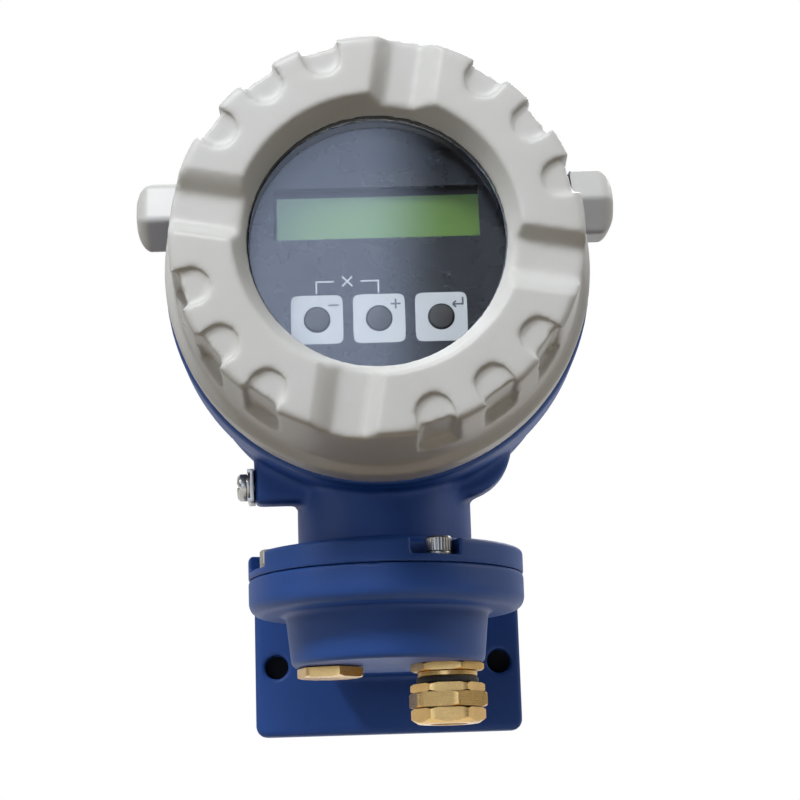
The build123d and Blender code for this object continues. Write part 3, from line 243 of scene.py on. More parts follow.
class EffectLibrary:
    """Shader node groups shared by the finishes, each built once."""

    def __init__(self) -> None:
        """Start with no groups."""
        self.groups: dict[str, bpy.types.NodeTree] = {}

    def start(self, name: str, inputs: dict[str, object], outputs: dict[str, str]) -> tuple[NodeSheet, dict]:
        """Make an empty group with named sockets.

        Args:
            name: Name of the group.
            inputs: Input name to its first value, a number or a colour.
            outputs: Output name to its socket type.

        Returns:
            The sheet to fill and the group's input sockets by name.
        """
        tree = bpy.data.node_groups.new(name, "ShaderNodeTree")
        for label, value in inputs.items():
            kind = "NodeSocketColor" if isinstance(value, tuple) else "NodeSocketFloat"
            socket = tree.interface.new_socket(name=label, in_out="INPUT", socket_type=kind)
            socket.default_value = value
        for label, kind in outputs.items():
            tree.interface.new_socket(name=label, in_out="OUTPUT", socket_type=kind)
        sheet = NodeSheet(tree)
        self.groups[name] = tree
        return sheet, dict(sheet.node("NodeGroupInput").outputs.items())

    def finish(self, sheet: NodeSheet, results: dict[str, object]) -> None:
        """Join the group's results to its output sockets."""
        sheet.node("NodeGroupOutput", results)

    def place(self, sheet: NodeSheet, name: str, values: dict[str, object]) -> bpy.types.NodeSocket:
        """Put a group into a material and return its outputs.

        Args:
            sheet: Sheet of the material.
            name: Name of the group.
            values: Number, colour or socket for each named input.

        Returns:
            The placed group's outputs.
        """
        if name not in self.groups:
            getattr(self, name)()
        made = sheet.node("Group", node_tree=self.groups[name])
        for label, value in values.items():
            sheet.feed(made, label, value)
        return made.outputs

    def sprayed_skin(self) -> None:
        """Orange peel of sprayed paint with a few dust nibs, as a bump height."""
        sheet, given = self.start("sprayed_skin", {"Peel": 0.5, "Nibs": 0.2}, {"Height": "NodeSocketFloat"})
        peel = sheet.noise(620.0, 2.0)
        fine = sheet.noise(1700.0, 1.0)
        nibs = sheet.step(sheet.noise(900.0, 0.0), 0.74, 0.80)
        both = sheet.maths("ADD", peel, sheet.maths("MULTIPLY", fine, 0.35))
        waves = sheet.maths("MULTIPLY", both, given["Peel"])
        bumps = sheet.maths("MULTIPLY", nibs, given["Nibs"])
        self.finish(sheet, {"Height": sheet.maths("ADD", waves, bumps)})

    def colour_mottle(self) -> None:
        """Slow cloudy change of a colour towards a second one."""
        sheet, given = self.start(
            "colour_mottle",
            {"Colour": rgb(128, 128, 128), "Tint": rgb(100, 100, 100), "Amount": 0.3},
            {"Colour": "NodeSocketColor"},
        )
        clouds = sheet.maths("ADD", sheet.step(sheet.noise(28.0, 4.0), 0.35, 0.7), sheet.noise(190.0, 2.0))
        share = sheet.maths("MULTIPLY", sheet.maths("MULTIPLY", clouds, 0.6), given["Amount"], clamp=True)
        self.finish(sheet, {"Colour": sheet.blend(share, given["Colour"], given["Tint"])})

    def corner_shade_and_tarnish(self) -> None:
        """Darkening towards a second colour in inner corners, found by ambient occlusion, and along concave
        creases, found by pointiness, broken up by a noise; on the paints it is painted shade, on the metals
        tarnish in the hollows.
        """
        sheet, given = self.start(
            "corner_shade_and_tarnish",
            {"Colour": rgb(128, 128, 128), "Corner Colour": rgb(70, 60, 45), "Amount": 0.5, "Line": 0.5},
            {"Colour": "NodeSocketColor", "Mask": "NodeSocketFloat"},
        )
        # Ambient occlusion darkens inner corners: painted shade on the paints.
        shade = sheet.node("AmbientOcclusion", {"Distance": 4.0 * MM}, samples=6).outputs["AO"]
        hollow = sheet.step(shade, 0.75, 0.25)
        bend = sheet.node("NewGeometry").outputs["Pointiness"]
        line = sheet.maths("MULTIPLY", sheet.step(bend, 0.475, 0.40), given["Line"])
        patch = sheet.step(sheet.noise(140.0, 3.0), 0.42, 0.62)
        soft = sheet.maths("MULTIPLY", hollow, sheet.maths("MULTIPLY_ADD", patch, 0.6), clamp=True)
        soft = sheet.maths("MULTIPLY", soft, given["Amount"])
        mask = sheet.maths("ADD", soft, sheet.maths("MULTIPLY", line, patch), clamp=True)
        self.finish(sheet, {"Colour": sheet.blend(mask, given["Colour"], given["Corner Colour"]), "Mask": mask})

    def painted_edge_highlight(self) -> None:
        """Painted highlight: a mask that lightens the outer, convex edges, broken up by a noise."""
        sheet, given = self.start("painted_edge_highlight", {"Amount": 0.5}, {"Mask": "NodeSocketFloat"})
        bend = sheet.node("NewGeometry").outputs["Pointiness"]
        patch = sheet.step(sheet.noise(320.0, 4.0), 0.5, 0.64)
        mask = sheet.maths("MULTIPLY", sheet.step(bend, 0.54, 0.62), patch)
        self.finish(sheet, {"Mask": sheet.maths("MULTIPLY", mask, given["Amount"], clamp=True)})

    def tool_marks(self) -> None:
        """Fine lines of turned or drawn metal, as a value around one half."""
        sheet, given = self.start("tool_marks", {"Depth": 0.5}, {"Value": "NodeSocketFloat"})
        across = sheet.noise(260.0, 3.0, (0.5, 0.5, 22.0))
        along = sheet.noise(800.0, 2.0, (1.0, 6.0, 1.0))
        lines = sheet.maths("ADD", sheet.maths("MULTIPLY", across, 0.7), sheet.maths("MULTIPLY", along, 0.3))
        self.finish(sheet, {"Value": sheet.maths("MULTIPLY", lines, given["Depth"])})


EFFECTS = EffectLibrary()


@dataclass(frozen=True)
class Finish:
    """A surface finish: one material made on demand."""

    name: str
    slot: Slot

    def material(self) -> bpy.types.Material:
        """Return the finish's material, building it the first time.

        Returns:
            The material.
        """
        found = bpy.data.materials.get(self.name)
        if found is not None:
            return found
        made = bpy.data.materials.new(self.name)
        made.use_nodes = True
        made.node_tree.nodes.clear()
        sheet = NodeSheet(made.node_tree)
        shader = sheet.node("BsdfPrincipled")
        output = sheet.node("OutputMaterial")
        sheet.feed(output, "Surface", shader.outputs[0])
        self.dress(sheet, shader)
        return made

    def dress(self, sheet: NodeSheet, shader: bpy.types.Node) -> None:
        """Set the Principled shader and join the effects to it.

        Args:
            sheet: Sheet of the material.
            shader: The material's Principled shader.
        """

    def bump(
        self, sheet: NodeSheet, shader: bpy.types.Node, height: object, depth: float, strength: float
    ) -> None:
        """Join a bump height to the shader's normal.

        Args:
            sheet: Sheet of the material.
            shader: Principled shader.
            height: Output that gives the height.
            depth: Real depth of a full step, in metres.
            strength: Share of that depth that is used.
        """
        made = sheet.node("Bump", {"Height": height, "Distance": depth, "Strength": strength})
        sheet.feed(shader, "Normal", made.outputs[0])


@dataclass(frozen=True)
class CastPaint(Finish):
    """Sprayed satin paint on a die casting."""

    colour: Colour = (0.5, 0.5, 0.5, 1.0)
    tint: Colour = (0.4, 0.4, 0.4, 1.0)
    # The third colour and its amounts give the painted shade in corners and creases; the fourth colour and
    # its amount the painted highlight on outer edges.
    painted_shade: Colour = (0.1, 0.08, 0.05, 1.0)
    highlight_tone: Colour = (0.6, 0.6, 0.6, 1.0)
    roughness: float = 0.4
    painted_shade_amount: float = 0.4
    crease_shade_amount: float = 0.4
    highlight_amount: float = 0.3
    peel: float = 0.5
    coat: float = 0.2

    def dress(self, sheet: NodeSheet, shader: bpy.types.Node) -> None:
        """Mottled paint with painted shade in the corners and creases, a painted highlight on the outer
        edges, and orange peel.

        Args:
            sheet: Sheet of the material.
            shader: The material's Principled shader.
        """
        base = EFFECTS.place(
            sheet, "colour_mottle", {"Colour": self.colour, "Tint": self.tint, "Amount": 0.5}
        )["Colour"]
        # Inner corners and creases darken towards the third colour: painted shade.
        darkened = EFFECTS.place(
            sheet, "corner_shade_and_tarnish",
            {"Colour": base, "Corner Colour": self.painted_shade, "Amount": self.painted_shade_amount, "Line": self.crease_shade_amount},
        )
        # Outer edges blend towards a paler tone of the paint: a painted highlight.
        edges = EFFECTS.place(sheet, "painted_edge_highlight", {"Amount": self.highlight_amount})["Mask"]
        sheet.feed(shader, "Base Color", sheet.blend(edges, darkened["Colour"], self.highlight_tone))
        rough = sheet.maths("MULTIPLY_ADD", sheet.noise(75.0, 3.0), 0.14)
        rough.node.inputs[2].default_value = self.roughness - 0.07
        dull = sheet.maths("ADD", rough, sheet.maths("MULTIPLY", darkened["Mask"], 0.25), clamp=True)
        sheet.feed(shader, "Roughness", dull)
        shader.inputs["Coat Weight"].default_value = self.coat
        shader.inputs["Coat Roughness"].default_value = 0.28
        shader.inputs["Specular IOR Level"].default_value = 0.45
        skin = EFFECTS.place(sheet, "sprayed_skin", {"Peel": self.peel, "Nibs": 0.25})["Height"]
        self.bump(sheet, shader, skin, 0.09 * MM, 0.55)


@dataclass(frozen=True)
class TurnedMetal(Finish):
    """Bare or plated metal with tool marks, tarnish and dull corners."""

    colour: Colour = (0.6, 0.6, 0.6, 1.0)
    tarnish: Colour = (0.3, 0.3, 0.3, 1.0)
    roughness: float = 0.3
    tarnish_amount: float = 0.4
    marks: float = 0.5

    def dress(self, sheet: NodeSheet, shader: bpy.types.Node) -> None:
        """Metal whose colour and gloss change with tarnish and tool marks.

        Args:
            sheet: Sheet of the material.
            shader: The material's Principled shader.
        """
        base = EFFECTS.place(
            sheet, "colour_mottle",
            {"Colour": self.colour, "Tint": self.tarnish, "Amount": self.tarnish_amount},
        )["Colour"]
        darkened = EFFECTS.place(
            sheet, "corner_shade_and_tarnish", {"Colour": base, "Corner Colour": self.tarnish, "Amount": 0.7, "Line": 0.5}
        )
        sheet.feed(shader, "Base Color", darkened["Colour"])
        shader.inputs["Metallic"].default_value = 1.0
        marks = EFFECTS.place(sheet, "tool_marks", {"Depth": self.marks})["Value"]
        rough = sheet.maths("MULTIPLY_ADD", marks, 0.3)
        rough.node.inputs[2].default_value = self.roughness - 0.06
        dull = sheet.maths("ADD", rough, sheet.maths("MULTIPLY", darkened["Mask"], 0.25))
        sheet.feed(shader, "Roughness", dull)
        self.bump(sheet, shader, marks, 0.03 * MM, 0.5)


@dataclass(frozen=True)
class Moulded(Finish):
    """Moulded plastic or rubber with a fine spark-eroded grain."""

    colour: Colour = (0.1, 0.1, 0.1, 1.0)
    tint: Colour = (0.08, 0.08, 0.08, 1.0)
    roughness: float = 0.6
    grain: float = 0.4
    sheen: float = 0.0

    def dress(self, sheet: NodeSheet, shader: bpy.types.Node) -> None:
        """Slightly clouded colour with a grained surface.

        Args:
            sheet: Sheet of the material.
            shader: The material's Principled shader.
        """
        base = EFFECTS.place(
            sheet, "colour_mottle", {"Colour": self.colour, "Tint": self.tint, "Amount": 0.7}
        )["Colour"]
        sheet.feed(shader, "Base Color", base)
        rough = sheet.maths("MULTIPLY_ADD", sheet.noise(300.0, 2.0), 0.12)
        rough.node.inputs[2].default_value = self.roughness - 0.06
        sheet.feed(shader, "Roughness", rough)
        shader.inputs["Sheen Weight"].default_value = self.sheen
        self.bump(sheet, shader, sheet.noise(2600.0, 2.0), 0.04 * MM, self.grain)


@dataclass(frozen=True)
class PrintedFoil(Finish):
    """Smooth printed polyester foil over a moulded carrier."""

    colour: Colour = (0.01, 0.01, 0.02, 1.0)
    roughness: float = 0.22

    def dress(self, sheet: NodeSheet, shader: bpy.types.Node) -> None:
        """Even ink with faint dust and a soft gloss.

        Args:
            sheet: Sheet of the material.
            shader: The material's Principled shader.
        """
        dust = sheet.maths("MULTIPLY", sheet.step(sheet.noise(1500.0, 1.0), 0.74, 0.82), 0.05)
        cloud = sheet.maths("MULTIPLY", sheet.noise(45.0, 3.0), 0.006)
        lift = sheet.maths("ADD", dust, cloud, clamp=True)
        sheet.feed(shader, "Base Color", sheet.blend(lift, self.colour, rgb(150, 155, 165)))
        rough = sheet.maths("MULTIPLY_ADD", sheet.noise(120.0, 3.0), 0.10)
        rough.node.inputs[2].default_value = self.roughness
        sheet.feed(shader, "Roughness", rough)


@dataclass(frozen=True)
class LiquidCrystal(Finish):
    """Unlit reflective display: green foil whose cells show as a faint raster."""

    colour: Colour = (0.05, 0.1, 0.01, 1.0)
    glow: Colour = (0.3, 0.45, 0.2, 1.0)
    cell: float = 0.62 * MM

    def dress(self, sheet: NodeSheet, shader: bpy.types.Node) -> None:
        """Green reflector with a half-seen raster of dots.

        Args:
            sheet: Sheet of the material.
            shader: The material's Principled shader.
        """
        place = sheet.node("SeparateXYZ", {0: sheet.node("TexCoord").outputs["Object"]})
        waves = []
        for axis in ("X", "Z"):
            turn = sheet.maths("MULTIPLY", place.outputs[axis], 2 * math.pi / self.cell)
            waves.append(sheet.step(sheet.maths("COSINE", turn), 0.72, 0.95))
        raster = sheet.maths("MULTIPLY", sheet.maths("MAXIMUM", waves[0], waves[1]), 0.10)
        cloud = sheet.maths("MULTIPLY", sheet.noise(40.0, 2.0), 0.18)
        base = sheet.blend(sheet.maths("ADD", raster, cloud, clamp=True), self.glow, self.colour)
        sheet.feed(shader, "Base Color", base)
        shader.inputs["Metallic"].default_value = 0.30
        sheet.feed(shader, "Roughness", sheet.maths("ADD", sheet.maths("MULTIPLY", raster, 0.5), 0.22))
        shader.inputs["Coat Weight"].default_value = 1.0
        shader.inputs["Coat Roughness"].default_value = 0.05


@dataclass(frozen=True)
class ClearGlass(Finish):
    """Thick clear window with faint wipe marks; shadow rays pass through it."""

    roughness: float = 0.0

    def dress(self, sheet: NodeSheet, shader: bpy.types.Node) -> None:
        """Clear glass whose alpha drops for shadow rays, so that the light reaches what is behind.

        Args:
            sheet: Sheet of the material.
            shader: The material's Principled shader.
        """
        shader.inputs["Base Color"].default_value = (0.97, 0.985, 0.98, 1.0)
        shader.inputs["Transmission Weight"].default_value = 1.0
        shader.inputs["IOR"].default_value = 1.5
        wipe = sheet.step(sheet.noise(26.0, 3.0, (1.0, 1.0, 3.0)), 0.5, 0.8)
        sheet.feed(shader, "Roughness", sheet.maths("MULTIPLY", wipe, 0.03))
        shadow = sheet.node("LightPath").outputs["Is Shadow Ray"]
        sheet.feed(shader, "Alpha", sheet.maths("SUBTRACT", 1.0, sheet.maths("MULTIPLY", shadow, 0.94)))


@dataclass(frozen=True)
class CircuitLaminate(Finish):
    """Green solder resist over copper tracks."""

    resist: Colour = (0.01, 0.11, 0.04, 1.0)
    track: Colour = (0.02, 0.2, 0.07, 1.0)

    def dress(self, sheet: NodeSheet, shader: bpy.types.Node) -> None:
        """Laminate with a raster of tracks under the resist.

        Args:
            sheet: Sheet of the material.
            shader: The material's Principled shader.
        """
        place = sheet.node("TexCoord").outputs["Object"]
        bricks = sheet.node(
            "TexBrick",
            {
                "Vector": place, "Scale": 90.0, "Color1": self.resist, "Color2": self.resist,
                "Mortar": self.track, "Mortar Size": 0.03,
            },
        )
        sheet.feed(shader, "Base Color", bricks.outputs["Color"])
        shader.inputs["Roughness"].default_value = 0.35
        self.bump(sheet, shader, bricks.outputs["Fac"], 0.04 * MM, 0.5)


# In each paint the third colour is the painted shade of corners and creases, the fourth the painted highlight
# on outer edges.
BLUE_PAINT = CastPaint(
    "paint_blue", Slot.BLUE_PAINT, rgb(22, 72, 148), rgb(18, 60, 128), rgb(5, 12, 30), rgb(62, 100, 160),
    roughness=0.52, painted_shade_amount=0.45, crease_shade_amount=0.25, highlight_amount=0.22, peel=0.35, coat=0.0,
)
GREY_PAINT = CastPaint(
    "paint_light_grey", Slot.COVER_PAINT, rgb(205, 206, 205), rgb(194, 194, 189), rgb(84, 76, 52),
    rgb(222, 222, 218), roughness=0.46, painted_shade_amount=0.5, crease_shade_amount=0.85, highlight_amount=0.35, peel=0.5,
    coat=0.10,
)
PLUG_PAINT = CastPaint(
    "paint_plug_grey", Slot.PLUG_PAINT, rgb(204, 205, 202), rgb(190, 190, 184), rgb(80, 72, 55),
    rgb(224, 224, 220), roughness=0.42, painted_shade_amount=0.4, crease_shade_amount=0.3, highlight_amount=0.3, peel=0.3,
    coat=0.15,
)
BRASS = TurnedMetal(
    "brass_bright", Slot.BRASS, rgb(222, 184, 118), rgb(120, 84, 40), roughness=0.27, tarnish_amount=0.45,
)
STEEL = TurnedMetal(
    "steel_bright", Slot.STEEL, rgb(188, 186, 180), rgb(92, 86, 78), roughness=0.3, tarnish_amount=0.5,
)
SPACER_METAL = TurnedMetal(
    "aluminium_turned", Slot.SPACER, rgb(200, 202, 204), rgb(150, 152, 155), roughness=0.38,
    tarnish_amount=0.3,
)
DARK_RING = TurnedMetal(
    "ring_black", Slot.DARK_RING, rgb(38, 38, 42), rgb(18, 18, 20), roughness=0.42, tarnish_amount=0.4,
)
RUBBER = Moulded("rubber_black", Slot.RUBBER, rgb(26, 26, 26), rgb(38, 37, 35), roughness=0.72, sheen=0.2)
HOUSING_PLASTIC = Moulded(
    "plastic_black", Slot.HOUSING_PLASTIC, rgb(34, 35, 38), rgb(26, 27, 30), roughness=0.55,
)
TERMINAL_PLASTIC = Moulded(
    "plastic_terminal", Slot.TERMINAL, rgb(96, 128, 104), rgb(84, 112, 92), roughness=0.5,
)
KEY_RUBBER = Moulded("key_dark", Slot.KEYS, rgb(13, 15, 19), rgb(10, 11, 15), roughness=0.6, grain=0.2)
PANEL_FOIL = PrintedFoil("foil_dark", Slot.PANEL, rgb(14, 16, 20))
WHITE_INK = PrintedFoil("ink_white", Slot.PANEL, rgb(154, 158, 163), 0.4)
DARK_INK = PrintedFoil("ink_dark", Slot.PANEL, rgb(52, 56, 66), 0.3)
LCD_GREEN = LiquidCrystal("lcd_green", Slot.LCD, rgb(56, 80, 24), rgb(92, 124, 56))
LCD_FRAME = PrintedFoil("lcd_frame", Slot.LCD, rgb(14, 15, 18), 0.3)
GLASS = ClearGlass("glass_window", Slot.GLASS)
LAMINATE = CircuitLaminate("laminate_green", Slot.BOARD)


class MeshSketch:
    """One mesh built from rings of points in a local frame, in metres."""

    def __init__(self, name: str) -> None:
        """Start an empty mesh.

        Args:
            name: Name of the piece.
        """
        self.name = name
        self.mesh = bmesh.new()

    def ring(self, points: list[tuple[float, float, float]]) -> list[bmesh.types.BMVert]:
        """Add a ring of points."""
        return [self.mesh.verts.new(point) for point in points]

    def bridge(self, first: list, second: list, closed: bool = True) -> None:
        """Join two rings of the same count with four-sided faces.

        Args:
            first: First ring of points.
            second: Second ring of points.
            closed: Whether the last points join the first ones.
        """
        count = len(first)
        for index in range(count if closed else count - 1):
            following = (index + 1) % count
            self.mesh.faces.new((first[index], first[following], second[following], second[index]))

    def stack(self, rings: list[list], closed: bool = False) -> None:
        """Join rings in order, and the last to the first where the section is closed.

        Args:
            rings: Rings of the same count.
            closed: Whether the section is closed.
        """
        for first, second in zip(rings, rings[1:]):
            self.bridge(first, second)
        if closed:
            self.bridge(rings[-1], rings[0])

    def cap(self, ring: list) -> None:
        """Close a ring with one flat face."""
        self.mesh.faces.new(ring)

    def circle(self, radius: float, height: float, count: int = ROUND_SEGMENTS) -> list:
        """Add a round ring about the local Z axis."""
        return self.ring([spoke(radius, 2 * math.pi * index / count, height) for index in range(count)])

    def piece(self, place: Matrix, finish: Finish, body: Body, sharp: float = 32.0) -> bpy.types.Object:
        """Turn the sketch into a piece that rides on a body.

        Args:
            place: Where the local frame stands in the model.
            finish: Surface finish.
            body: Body that carries the piece.
            sharp: Angle in degrees above which an edge stays sharp.

        Returns:
            The new object.
        """
        bmesh.ops.recalc_face_normals(self.mesh, faces=self.mesh.faces)
        data = bpy.data.meshes.new(self.name)
        self.mesh.to_mesh(data)
        self.mesh.free()
        data.transform(place)
        if place.determinant() < 0:
            data.flip_normals()
        return add_piece(self.name, data, finish, body, sharp)


def spoke(radius: float, angle: float, height: float) -> tuple[float, float, float]:
    """Point at a radius and an angle in radians about the local Z axis."""
    return (radius * math.cos(angle), radius * math.sin(angle), height)


def add_piece(
    name: str, data: bpy.types.Mesh, finish: Finish, body: Body, sharp: float = 32.0
) -> bpy.types.Object:
    """Link a mesh as a dressed piece of the model.

    Args:
        name: Name of the piece.
        data: Its mesh, in the model's frame.
        finish: Surface finish.
        body: Body that carries it.
        sharp: Angle in degrees above which an edge stays sharp.

    Returns:
        The new object.
    """
    data.shade_smooth()
    data.set_sharp_from_angle(angle=math.radians(sharp))
    data.materials.clear()
    data.materials.append(finish.material())
    made = bpy.data.objects.new(name, data)
    bpy.context.scene.collection.objects.link(made)
    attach(made, body.value)
    log.info("piece %s: %d faces on %s", name, len(data.polygons), body.value)
    return made


def axis_place(origin: Vector | tuple, axis: tuple, side: tuple) -> Matrix:
    """Frame whose local Z runs along an axis and whose local X runs along a side.

    Args:
        origin: Where the local frame stands, in metres.
        axis: Direction of local Z.
        side: Direction of local X.

    Returns:
        The 4 by 4 matrix of the frame.
    """
    along = Vector(axis).normalized()
    across = Vector(side).normalized()
    place = Matrix((across, along.cross(across), along)).transposed().to_4x4()
    place.translation = Vector(origin)
    return place


def lathe(name: str, profile: Profile, count: int = ROUND_SEGMENTS, closed: bool = True) -> MeshSketch:
    """Turn a profile about the local Z axis.

    Args:
        name: Name of the piece.
        profile: Points (radius, height) in metres.
        count: Segments around.
        closed: Whether the profile closes on itself, as a ring's does; otherwise both ends are capped.

    Returns:
        The sketch of the turned piece.
    """
    sketch = MeshSketch(name)
    rings = [sketch.circle(radius, height, count) for radius, height in profile]
    sketch.stack(rings, closed)
    if not closed:
        sketch.cap(rings[0])
        sketch.cap(rings[-1])
    return sketch


def o_ring(name: str, radius: float, section: float, count: int = 128) -> MeshSketch:
    """Ring of round section about the local Z axis.

    Args:
        name: Name of the piece.
        radius: Radius of the ring's middle line.
        section: Radius of its section.
        count: Number of points round the ring.

    Returns:
        The sketch of the ring.
    """
    steps = 16
    turns = [2 * math.pi * index / steps for index in range(steps)]
    profile = [(radius + section * math.cos(turn), section * math.sin(turn)) for turn in turns]
    return lathe(name, profile, count)


@dataclass
class Hexagon:
    """Hexagon with turned chamfers, about the local Z axis."""

    flats: float
    turn: float = 0.0
    corner_share: float = 0.99
    rim_share: float = 0.97
    chamfer_share: float = 1.055
    chamfer_slope: float = 0.55

    def reach(self, angle: float) -> float:
        """Distance from the axis to the hexagon's side at an angle in radians.

        Args:
            angle: Angle about the axis.

        Returns:
            The distance, in metres.
        """
        step = math.pi / 3
        within = (angle - self.turn) % step - step / 2
        corner = self.flats / 2 / math.cos(step / 2)
        return min(self.flats / 2 / math.cos(within), corner * self.corner_share)

    def outline(self, sketch: MeshSketch, height: float, drop: float) -> list:
        """Ring of the hexagon whose corners drop away along the chamfer.

        Args:
            sketch: Sketch that takes the ring.
            height: Height of the face that is chamfered.
            drop: 1 where the chamfer goes down from an upper face, -1 at a lower one, 0 for none.

        Returns:
            The ring.
        """
        start = self.flats / 2 * self.chamfer_share
        points = []
        for index in range(HEX_SEGMENTS):
            angle = self.turn + 2 * math.pi * index / HEX_SEGMENTS
            radius = self.reach(angle)
            fall = self.chamfer_slope * max(0.0, radius - start)
            points.append(spoke(radius, angle, height - drop * fall))
        return sketch.ring(points)

    def rim(self, sketch: MeshSketch, height: float, radius: float | None = None) -> list:
        """Round ring with the hexagon's count of points.

        Args:
            sketch: Sketch that takes the ring.
            height: Height of the ring.
            radius: Radius, or None for the flat face's own rim.

        Returns:
            The ring.
        """
        size = self.flats / 2 * self.rim_share if radius is None else radius
        return sketch.ring(
            [
                spoke(size, self.turn + 2 * math.pi * index / HEX_SEGMENTS, height)
                for index in range(HEX_SEGMENTS)
            ]
        )

    def nut(self, sketch: MeshSketch, low: float, high: float, bore: float) -> None:
        """Add a bored nut from low to high with both faces chamfered.

        Args:
            sketch: Sketch that takes the nut.
            low: Height of the lower face.
            high: Height of the upper face.
            bore: Radius of the bore.
        """
        sketch.stack(
            [
                self.rim(sketch, low, bore),
                self.rim(sketch, low),
                self.outline(sketch, low, -1),
                self.outline(sketch, high, 1),
                self.rim(sketch, high),
                self.rim(sketch, high, bore),
            ],
            closed=True,
        )


def collar(sketch: MeshSketch, profile: Profile) -> None:
    """Add a closed turned section to a sketch that has hexagons in it."""
    rings = [sketch.circle(radius, height, HEX_SEGMENTS) for radius, height in profile]
    sketch.stack(rings, closed=True)


def thread_ridge(
    name: str, radius: float, height: float, pitch: float, turns: float, hand: int = 1
) -> MeshSketch:
    """Helical ridge of triangular section about the local Z axis.

    Args:
        name: Name of the piece.
        radius: Radius of the cylinder that the ridge stands on.
        height: Height of the ridge's crest above it.
        pitch: Rise of one turn.
        turns: Number of turns.
        hand: 1 for a right-hand thread, -1 for a left-hand one.

    Returns:
        The sketch of the ridge.
    """
    sketch = MeshSketch(name)
    count = 72
    steps = int(turns * count)
    sections = []
    for index in range(steps + 1):
        angle = hand * 2 * math.pi * index / count
        rise = pitch * index / count
        fade = min(1.0, index / 8, (steps - index) / 8)
        crest = radius + height * max(fade, 0.02)
        sections.append(
            sketch.ring(
                [
                    spoke(radius - THREAD_SINK, angle, rise),
                    spoke(crest, angle, rise + 0.44 * pitch),
                    spoke(crest, angle, rise + 0.56 * pitch),
                    spoke(radius - THREAD_SINK, angle, rise + pitch),
                ]
            )
        )
    for first, second in zip(sections, sections[1:]):
        sketch.bridge(first, second)
    sketch.cap(sections[0])
    sketch.cap(sections[-1])
    return sketch


@dataclass
class SoftEdged:
    """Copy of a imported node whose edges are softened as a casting's are."""

    node: str
    piece: str
    body: Body
    finish: Finish
    voxel: float
    smoothing: int = 3

    def build(self) -> bpy.types.Object:
        """Remesh the node's form finely, relax it and let it stand for the node.

        Returns:
            The new piece.
        """
        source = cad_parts[self.node]
        sketch = bmesh.new()
        sketch.from_mesh(source.data)
        bmesh.ops.remove_doubles(sketch, verts=sketch.verts, dist=WELD_DISTANCE)
        area = sum(face.calc_area() for face in sketch.faces)
        data = bpy.data.meshes.new(self.piece)
        sketch.to_mesh(data)
        sketch.free()
        worker = bpy.data.objects.new(self.piece + "_worker", data)
        bpy.context.scene.collection.objects.link(worker)
        grid = worker.modifiers.new("grid", "REMESH")
        grid.mode = "VOXEL"
        grid.voxel_size = max(self.voxel, math.sqrt(TRIANGLES_PER_CELL * area / TRIANGLE_LIMIT))
        relax = worker.modifiers.new("relax", "SMOOTH")
        relax.factor = 0.5
        relax.iterations = self.smoothing
        graph = bpy.context.evaluated_depsgraph_get()
        shaped = bpy.data.meshes.new_from_object(worker.evaluated_get(graph))
        bpy.data.objects.remove(worker)
        made = add_piece(self.piece, shaped, self.finish, self.body, sharp=180.0)
        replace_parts(made, self.node)
        return made


@dataclass
class Bevelled:
    """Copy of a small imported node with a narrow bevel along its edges."""

    node: str
    piece: str
    body: Body
    finish: Finish
    width: float

    def build(self) -> bpy.types.Object:
        """Bevel the node's sharp edges and let the copy stand for the node.

        Returns:
            The new piece.
        """
        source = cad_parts[self.node]
        sketch = bmesh.new()
        sketch.from_mesh(source.data)
        bmesh.ops.remove_doubles(sketch, verts=sketch.verts, dist=WELD_DISTANCE)
        bmesh.ops.dissolve_limit(
            sketch, angle_limit=math.radians(0.5), verts=sketch.verts, edges=sketch.edges
        )
        data = bpy.data.meshes.new(self.piece)
        sketch.to_mesh(data)
        sketch.free()
        worker = bpy.data.objects.new(self.piece + "_worker", data)
        bpy.context.scene.collection.objects.link(worker)
        bevel = worker.modifiers.new("bevel", "BEVEL")
        bevel.width = self.width
        bevel.segments = 2
        bevel.limit_method = "ANGLE"
        bevel.angle_limit = math.radians(40)
        graph = bpy.context.evaluated_depsgraph_get()
        shaped = bpy.data.meshes.new_from_object(worker.evaluated_get(graph))
        bpy.data.objects.remove(worker)
        made = add_piece(self.piece, shaped, self.finish, self.body, sharp=35.0)
        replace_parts(made, self.node)
        return made


def dress_nodes(finish: Finish, *nodes: str) -> None:
    """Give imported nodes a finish.

    Args:
        finish: Surface finish.
        nodes: Names of the nodes.
    """
    for node in nodes:
        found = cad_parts[node]
        found.data.materials.clear()
        found.data.materials.append(finish.material())
        log.info("node %s: %s", node, finish.name)


